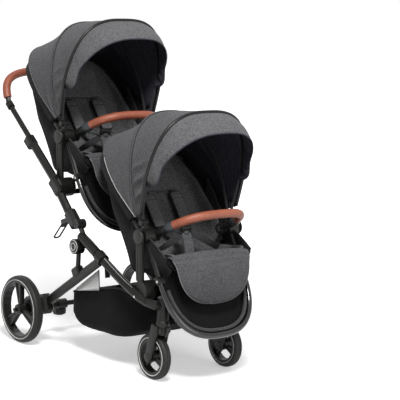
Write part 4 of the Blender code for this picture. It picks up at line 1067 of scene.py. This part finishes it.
def basket():
    """The slung basket: one bag of black cloth with a bound rim, sagging between its fixings."""
    along = [Vector((row[0], row[1], row[2])) for row in BASKET_ROWS]
    tops = [Vector((row[0], row[3], 0)) for row in BASKET_ROWS]
    lows = smooth_line(along, 37)
    highs = smooth_line(tops, 37)
    rows = []
    for step, (base, rim) in enumerate(zip(lows, highs)):
        y, half, low = base
        high = rim.y
        corner = 0.26 * (high - low)
        outline = [Vector((-half, high, 0)), Vector((-half * 0.998, mix(low, high, 0.55), 0)),
                   Vector((-half, low + corner, 0)),
                   Vector((-half + 0.4 * corner, low + 0.35 * corner, 0)), Vector((-half + corner, low, 0)),
                   Vector((-half * 0.4, low - 0.001, 0))]
        outline += [Vector((-point.x, point.y, 0)) for point in reversed(outline)]
        row = []
        for index, point in enumerate(smooth_line(outline, 61)):
            across = index / 60
            puff = 0.0022 * noise.noise((across * 7, step * 0.22, 3.3))
            row.append(Vector((point.x * (1 + puff * 3), y + SHIFT, point.y + puff)))
        rows.append(row)
    bag = list(rows)
    for where, row in ((0, rows[0]), (1, rows[-1])):
        for share in (0.25, 0.5, 0.75, 1.0):
            lifted = [point.lerp(row[0].lerp(row[-1], index / 60), share) for index, point in enumerate(row)]
            bag.insert(len(bag) * where, lifted)
    bm = grid(bag)
    bmesh.ops.remove_doubles(bm, verts=bm.verts, dist=0.00001)
    middle = (0, -0.42 + SHIFT, 0.20)
    face_away(bm, middle)
    shell(bm, CANVAS)
    front = [rows[-1][0].lerp(rows[-1][-1], step / 12) for step in range(13)]
    back = [rows[0][-1].lerp(rows[0][0], step / 12) for step in range(13)]
    loop = [row[0] for row in rows] + front[1:-1] + [row[-1] for row in rows[::-1]] + back[1:-1]
    add(bm, tube(even(loop + [loop[0]], 140)[:-1], 0.0036, 8, True), 1)
    made = piece("basket_bag", bm, (BASKET_CLOTH, TAPE), "chassis", ("basket",))


# Wheels

REAR_TRACK = 0.280
REAR_RADIUS = 0.125
FRONT_TRACK = 0.159
FRONT_AXLE = -0.647
FRONT_RADIUS = 0.080
REAR_WIDTH = 0.036
FRONT_WIDTH = 0.032
TYRE_DEPTH = 0.0135
RIM_DEPTH = 0.010


def tyre(name, centre, radius, width, body):
    """A foam tyre: rounded shoulders, a shallow tread and a white ring beside the rim."""
    half = width / 2
    inner = radius - TYRE_DEPTH
    outline = [(inner, half), (inner + 0.0035, half + 0.0006), (radius - 0.006, half * 0.94),
               (radius - 0.0022, half * 0.72),
               (radius - 0.0004, half * 0.42), (radius - 0.0004, half * 0.30), (radius - 0.0016, half * 0.26),
               (radius - 0.0016, half * 0.18), (radius, half * 0.14), (radius, -half * 0.14),
               (radius - 0.0016, -half * 0.18),
               (radius - 0.0016, -half * 0.26), (radius - 0.0004, -half * 0.30),
               (radius - 0.0004, -half * 0.42),
               (radius - 0.0022, -half * 0.72), (radius - 0.006, -half * 0.94),
               (inner + 0.0035, -half - 0.0006), (inner, -half)]
    bm = lathe(outline, centre, (1, 0, 0), 96)
    for face_side in (-1, 1):
        ring = [(inner - 0.0034, half - 0.0008), (inner - 0.0032, half + 0.0010),
                (inner - 0.0022, half + 0.0016),
                (inner - 0.0004, half + 0.0014), (inner - 0.0002, half - 0.0008)]
        add(bm, lathe(ring, centre, (face_side, 0, 0), 96), 1)
    piece(name.replace("tyre", "wheel_tyre"), bm, (RUBBER, WHITE), body, (name,), smooth=50)


def wheel_webs(name, centre, radius, width, body):
    """The floor of each hollow spoke, and its two raised edges."""
    bm = bmesh.new()
    outer = radius - TYRE_DEPTH - RIM_DEPTH
    for index in range(3):
        middle = math.radians(80) + math.tau * index / 3
        web = bmesh.new()
        corners = [(0.010, -0.55), (outer, -0.19), (outer, 0.19), (0.010, 0.55)]
        flat = [web.verts.new((0, r * math.cos(middle + a), r * math.sin(middle + a))) for r, a in corners]
        web.faces.new(flat)
        made = bmesh.ops.extrude_face_region(web, geom=web.faces[:])
        raised = [item for item in made["geom"] if isinstance(item, bmesh.types.BMVert)]
        bmesh.ops.translate(web, verts=raised, vec=(width * 0.34, 0, 0))
        bmesh.ops.translate(web, verts=web.verts, vec=(-width * 0.17, 0, 0))
        bmesh.ops.recalc_face_normals(web, faces=web.faces)
        bmesh.ops.bevel(web, geom=web.edges, offset=0.0012, segments=2, affect="EDGES", profile=0.5,
                        material=-1)
        web.transform(Matrix.Translation(centre))
        add(bm, web, 0)
        for offset in (-0.16, 0.16):
            low = Vector((0, math.cos(middle + offset), math.sin(middle + offset)))
            rib = tube([Vector(centre) + low * share for share in (0.016, outer)], 0.0048, 10)
            add(bm, rib, 0)
    piece(name, bm, (MOULDED,), body, smooth=40)


def hub_cap(name, side, centre, radius, half, body):
    """The round cap over the outside of a wheel's hub."""
    spot = (centre[0] + side * (half - 0.0004), centre[1], centre[2])
    outline = [(0, 0.0030), (radius * 0.55, 0.0028), (radius * 0.62, 0.0020), (radius * 0.85, 0.0016),
               (radius, 0.0004), (radius, 0), (0, 0)]
    piece(name, lathe(outline, spot, (side, 0, 0), 40, False), (MOULDED,), body, smooth=30)


def wheels():
    for name, side in SIDES:
        rear = (side * REAR_TRACK, SHIFT, REAR_RADIUS)
        front = (side * FRONT_TRACK, FRONT_AXLE + SHIFT, FRONT_RADIUS)
        ends = (("rear", rear, REAR_RADIUS, REAR_WIDTH), ("front", front, FRONT_RADIUS, FRONT_WIDTH))
        for end, centre, radius, width in ends:
            tyre(end + "_tyre_" + name, centre, radius, width, end + "_wheel_" + name)
        hub_cap("rear_hub_cap_" + name, side, rear, 0.0165, 0.019, "rear_wheel_" + name)
        for end, centre, radius, width in ends:
            wheel_webs(end + "_wheel_webs_" + name, centre, radius, width, end + "_wheel_" + name)


# Small parts of the frame

FRAME_HALF = 0.235
HUB_FACE = 0.2189
SEAT_MOUNT = (-0.024, -0.180)
POST_FOOT = (-0.0095, -0.140)
BADGE = (-0.295, 0.408)
BADGE_OUT = 0.0242


def disc(bm, centre, axis, radius, height, index, dish=0.0):
    """A turned cover disc with a stepped edge, slightly domed or dished."""
    outline = [(0, height + dish), (radius * 0.42, height + dish * 0.8), (radius * 0.70, height),
               (radius * 0.76, height - 0.0006),
               (radius * 0.80, height - 0.0006), (radius * 0.86, height), (radius * 0.95, height * 0.85),
               (radius, height * 0.4),
               (radius, 0), (0, 0)]
    add(bm, lathe(outline, centre, axis, 48, False), index)


def seat_hub_covers(label, hub):
    """Covers over the seat's hubs, glossy domes on the rear seat's mounts, two beads along each post."""
    bm = bmesh.new()
    for side in (-1, 1):
        x = side * HUB_FACE
        disc(bm, (x, *hub), (side, 0, 0), 0.0262, 0.0045, 0, 0.0014)
        mount = seat_place(hub, SEAT_MOUNT)
        if label == "rear":
            dome = [(0, 0.0095), (0.010, 0.0090), (0.020, 0.0072), (0.028, 0.0040), (0.0325, 0.0), (0, 0)]
            add(bm, lathe(dome, (side * 0.2352, *mount), (side, 0, 0), 48, False), 1)
        foot = seat_place(hub, POST_FOOT)
        for shift in (-0.0085, 0.0085):
            inset = x - side * 0.0006
            ends = [(inset, hub[0] + shift, hub[1] - 0.022), (inset, foot[0] + shift, foot[1])]
            add(bm, tube(ends, 0.0022, 8), 0)
        inner = Vector((side * (BUMPER_HALF + 0.003), *hub))
        add(bm, lathe([(0.0192, -0.001), (0.0206, 0.0), (0.0206, 0.0060), (0.0192, 0.0070)], inner,
                      (side, 0, 0), 40), 0)
    body = "chassis" if label == "front" else "upper_frame"
    piece(label + "_hub_covers", bm, (MOULDED, GLOSS), body, smooth=40)


def fork_covers():
    """Moulded covers over the arms of the front forks, with a ring round each axle's end."""
    for name, side in SIDES:
        bm = bmesh.new()
        for turn in (-1, 1):
            x = side * FRONT_TRACK + turn * 0.0262
            add(bm, rounded_block((0.0090, 0.034, 0.122), (x, -0.6640 + SHIFT, 0.1385), 0.249, 0.0040), 0)
            end = (x + turn * 0.0040, FRONT_AXLE + SHIFT, FRONT_RADIUS)
            add(bm, lathe([(0, 0.0026), (0.006, 0.0026), (0.0066, 0.0018), (0.0100, 0.0018),
                           (0.0150, 0.0012), (0.0165, 0.0),
                           (0.0165, -0.0070), (0, -0.0070)], end, (turn, 0, 0), 32, False), 0)
        crown = (side * FRONT_TRACK, FRONT_AXLE - 0.040 + SHIFT, 0.190)
        add(bm, lathe([(0, 0.0), (0.0200, 0.0), (0.0232, 0.0030), (0.0240, 0.0080), (0.0225, 0.0210),
                       (0.0206, 0.0235), (0, 0.0235)],
                      crown, (0, 0, 1), 40, False), 0)
        piece("front_fork_covers_" + name, bm, (MOULDED,), "front_swivel_" + name, smooth=40)


def tube_top_lines():
    """A thin bright steel-coloured line along the top of each side tube, and the small screw beside it."""
    bm = bmesh.new()
    for side in (-1, 1):
        line = [Vector((side * (FRAME_HALF - 0.0008 + drop), y + SHIFT, z)) for drop, y, z in (
            (0.0, -0.455, 0.3945), (0.0, -0.500, 0.3720), (-0.003, -0.563, 0.3410), (-0.012, -0.630, 0.3080))]
        fine = smooth_line(line, 41)
        add(bm, tube([point + Vector((side * 0.006, 0, -0.0016)) for point in fine], 0.0014, 8), 0)
        spot = Vector((side * (FRAME_HALF + 0.0035), -0.628 + SHIFT, 0.2920))
        add(bm, lathe([(0, 0.0016), (0.0034, 0.0012), (0.0042, 0.0), (0, 0)], spot, (side, -0.25, 0), 20,
                      False), 0)
    piece("tube_top_lines", bm, (STEEL,), "chassis", smooth=40)


def badge():
    """The round plate under the fold joint: two white rings round a plain face."""
    bm = bmesh.new()
    for side in (-1, 1):
        spot = (side * (FRAME_HALF + BADGE_OUT), BADGE[0] + SHIFT, BADGE[1])
        ring = [(0.0208, -0.0004), (0.0212, 0.0010), (0.0232, 0.0010), (0.0236, -0.0004)]
        add(bm, lathe(ring, spot, (side, 0, 0), 64), 0)
        disc(bm, spot, (side, 0, 0), 0.0150, 0.0014, 1)
        inner_ring = [(0.0108, 0.0006), (0.0112, 0.0022), (0.0138, 0.0022), (0.0142, 0.0006)]
        add(bm, lathe(inner_ring, spot, (side, 0, 0), 48), 0)
    piece("badge_rings", bm, (WHITE, MOULDED), "chassis", smooth=40)


def knee_details():
    """Strap ends hanging from the knees, and the pale nets between the rear legs and the basket's rim."""
    straps = bmesh.new()
    for side in (-1, 1):
        x = side * (FRAME_HALF - 0.014)
        add(straps, strap([(x, -0.440 + SHIFT, 0.376), (x, -0.447 + SHIFT, 0.352),
                           (x, -0.452 + SHIFT, 0.322)], 0.021, 0.0024, 12), 0)
    made = piece("knee_straps", straps, (WEBBING,), "chassis", smooth=50)
    nets = bmesh.new()
    for side in (-1, 1):
        x = side * (FRAME_HALF - 0.012)
        rows = []
        for step in range(13):
            part = mix(0.04, 1.0, step / 12)
            low = Vector((x, mix(-0.262, -0.408, part) + SHIFT, mix(0.240, 0.268, part)))
            high = Vector((x, mix(-0.262, -0.402, part) + SHIFT, mix(0.246, 0.342, part)))
            bow = 0.004 * math.sin(math.pi * part)
            row = []
            for index in range(9):
                inward = Vector((side * bow * math.sin(math.pi * index / 8), 0, 0))
                row.append(low.lerp(high, index / 8) - inward)
            rows.append(row)
        net = grid(rows)
        face_away(net, (0, -0.35 + SHIFT, 0.30))
        shell(net, THIN_CLOTH)
        add(nets, net, 0)
        add(nets, tube(rows[-1], 0.0018, 8), 1)
    made = piece("basket_nets", nets, (NET, TAPE), "chassis")


# Finishes of the parts that stay as they are

for name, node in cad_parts.items():
    finish = FRAME
    if "foot_frame" in name:
        finish = GLOSS
    elif any(word in name for word in ("rim", "fork", "housing", "lever", "button", "pedal")):
        finish = MOULDED
    elif "bow" in name:
        finish = TAPE
    elif "tyre" in name:
        finish = RUBBER
    elif "grip" in name or "bumper" in name:
        finish = LEATHER
    for slot in node.material_slots:
        slot.material = finish

for label, hub in HUBS.items():
    hood(label, hub)
    hood_back(label, hub)
    visor(label, hub)
    front_piping(label, hub)
    hood_gathers(label, hub)
    side_flaps(label, hub)
    seat_liner(label, hub)
    headrest(label, hub)
    harness(label, hub)
    calf_pad(label, hub)
    foot_pocket(label, hub)
    bumper(label, hub)
    seat_hub_covers(label, hub)
fork_covers()
tube_top_lines()
badge()
knee_details()
handle_leather()
basket()
wheels()


# Floor, light and camera

CAMERA_PLACE = (-3.056, -4.296 + SHIFT, 1.339)
CAMERA_RIGHT = Vector((0.8, -0.599, 0.031))
CAMERA_FORWARD = Vector((0.597, 0.788, -0.153))
CAMERA_LENS = 126.81
LIGHTS = (("key", (-1.9, -2.7, 4.2), (1.0, 1.0), 215), ("front_fill", (0.6, -4.6, 1.6), (2.2, 2.2), 60),
          ("back_fill", (1.2, 3.6, 2.8), (2.4, 2.4), 14))
LIGHT_TARGET = (0, 0, 0.6)
WORLD_STRENGTH = 0.30


def seen_ray(tree):
    """1 for rays that show the backdrop: from the camera, mirrored or through something clear."""
    path = tree.nodes.new("ShaderNodeLightPath")
    first = math_node(tree, "MAXIMUM", path.outputs["Is Camera Ray"], path.outputs["Is Glossy Ray"])
    return math_node(tree, "MAXIMUM", first, path.outputs["Is Transmission Ray"])


def floor():
    mesh = bpy.data.meshes.new("floor")
    bm = bmesh.new()
    bmesh.ops.create_grid(bm, x_segments=1, y_segments=1, size=14)
    bm.to_mesh(mesh)
    bm.free()
    made = bpy.data.objects.new("floor", mesh)
    bpy.context.scene.collection.objects.link(made)
    finish = bpy.data.materials.new("white_floor")
    finish.use_nodes = True
    tree = finish.node_tree
    shader = tree.nodes["Principled BSDF"]
    shader.inputs["Base Color"].default_value = (0.93, 0.93, 0.93, 1)
    shader.inputs["Roughness"].default_value = 0.9
    glow = tree.nodes.new("ShaderNodeEmission")
    glow.inputs["Color"].default_value = (1, 1, 1, 1)
    away = tree.nodes.new("ShaderNodeVectorMath")
    away.operation = "LENGTH"
    spread = tree.nodes.new("ShaderNodeMapRange")
    spread.inputs["From Min"].default_value = 0.8
    spread.inputs["From Max"].default_value = 2.6
    spread.inputs["To Min"].default_value = 0.42
    spread.inputs["To Max"].default_value = 1.0
    tree.links.new(tree.nodes.new("ShaderNodeTexCoord").outputs["Object"], away.inputs[0])
    tree.links.new(away.outputs["Value"], spread.inputs["Value"])
    tree.links.new(spread.outputs["Result"], glow.inputs["Strength"])
    both = tree.nodes.new("ShaderNodeAddShader")
    choose = tree.nodes.new("ShaderNodeMixShader")
    tree.links.new(seen_ray(tree), choose.inputs["Fac"])
    tree.links.new(shader.outputs["BSDF"], both.inputs[0])
    tree.links.new(glow.outputs["Emission"], both.inputs[1])
    under = tree.nodes.new("ShaderNodeBsdfDiffuse")
    under.inputs["Color"].default_value = (0.22, 0.22, 0.22, 1)
    tree.links.new(under.outputs["BSDF"], choose.inputs[1])
    tree.links.new(both.outputs["Shader"], choose.inputs[2])
    tree.links.new(choose.outputs["Shader"], tree.nodes["Material Output"].inputs["Surface"])
    mesh.materials.append(finish)


def area_light(name, place, target, size, power):
    lamp = bpy.data.lights.new(name, "AREA")
    lamp.shape = "RECTANGLE"
    lamp.size = size[0]
    lamp.size_y = size[1]
    lamp.energy = power
    made = bpy.data.objects.new(name, lamp)
    made.location = place
    made.rotation_euler = (Vector(target) - Vector(place)).to_track_quat("-Z", "Y").to_euler()
    bpy.context.scene.collection.objects.link(made)


floor()
world = bpy.data.worlds.new("studio")
bpy.context.scene.world = world
world.use_nodes = True
tree = world.node_tree
light = tree.nodes["Background"]
light.inputs["Color"].default_value = (1, 1, 1, 1)
light.inputs["Strength"].default_value = WORLD_STRENGTH
white = tree.nodes.new("ShaderNodeBackground")
white.inputs["Color"].default_value = (1, 1, 1, 1)
white.inputs["Strength"].default_value = 1.0
choose = tree.nodes.new("ShaderNodeMixShader")
tree.links.new(seen_ray(tree), choose.inputs["Fac"])
tree.links.new(light.outputs["Background"], choose.inputs[1])
tree.links.new(white.outputs["Background"], choose.inputs[2])
tree.links.new(choose.outputs["Shader"], tree.nodes["World Output"].inputs["Surface"])

for name, place, size, power in LIGHTS:
    area_light(name, place, LIGHT_TARGET, size, power)

camera_data = bpy.data.cameras.new("camera")
camera_data.sensor_width = 36
camera_data.lens = CAMERA_LENS
camera_data.shift_x = 0.18
camera_data.shift_y = -0.0025
camera = bpy.data.objects.new("camera", camera_data)
forward = CAMERA_FORWARD.normalized()
right = (CAMERA_RIGHT - forward * CAMERA_RIGHT.dot(forward)).normalized()
down = forward.cross(right)
turn = Matrix((right, -down, -forward)).transposed().to_4x4()
camera.matrix_world = Matrix.Translation(CAMERA_PLACE) @ turn
bpy.context.scene.collection.objects.link(camera)
bpy.context.scene.camera = camera
bpy.context.scene.view_settings.view_transform = "Standard"

bpy.context.view_layer.update()
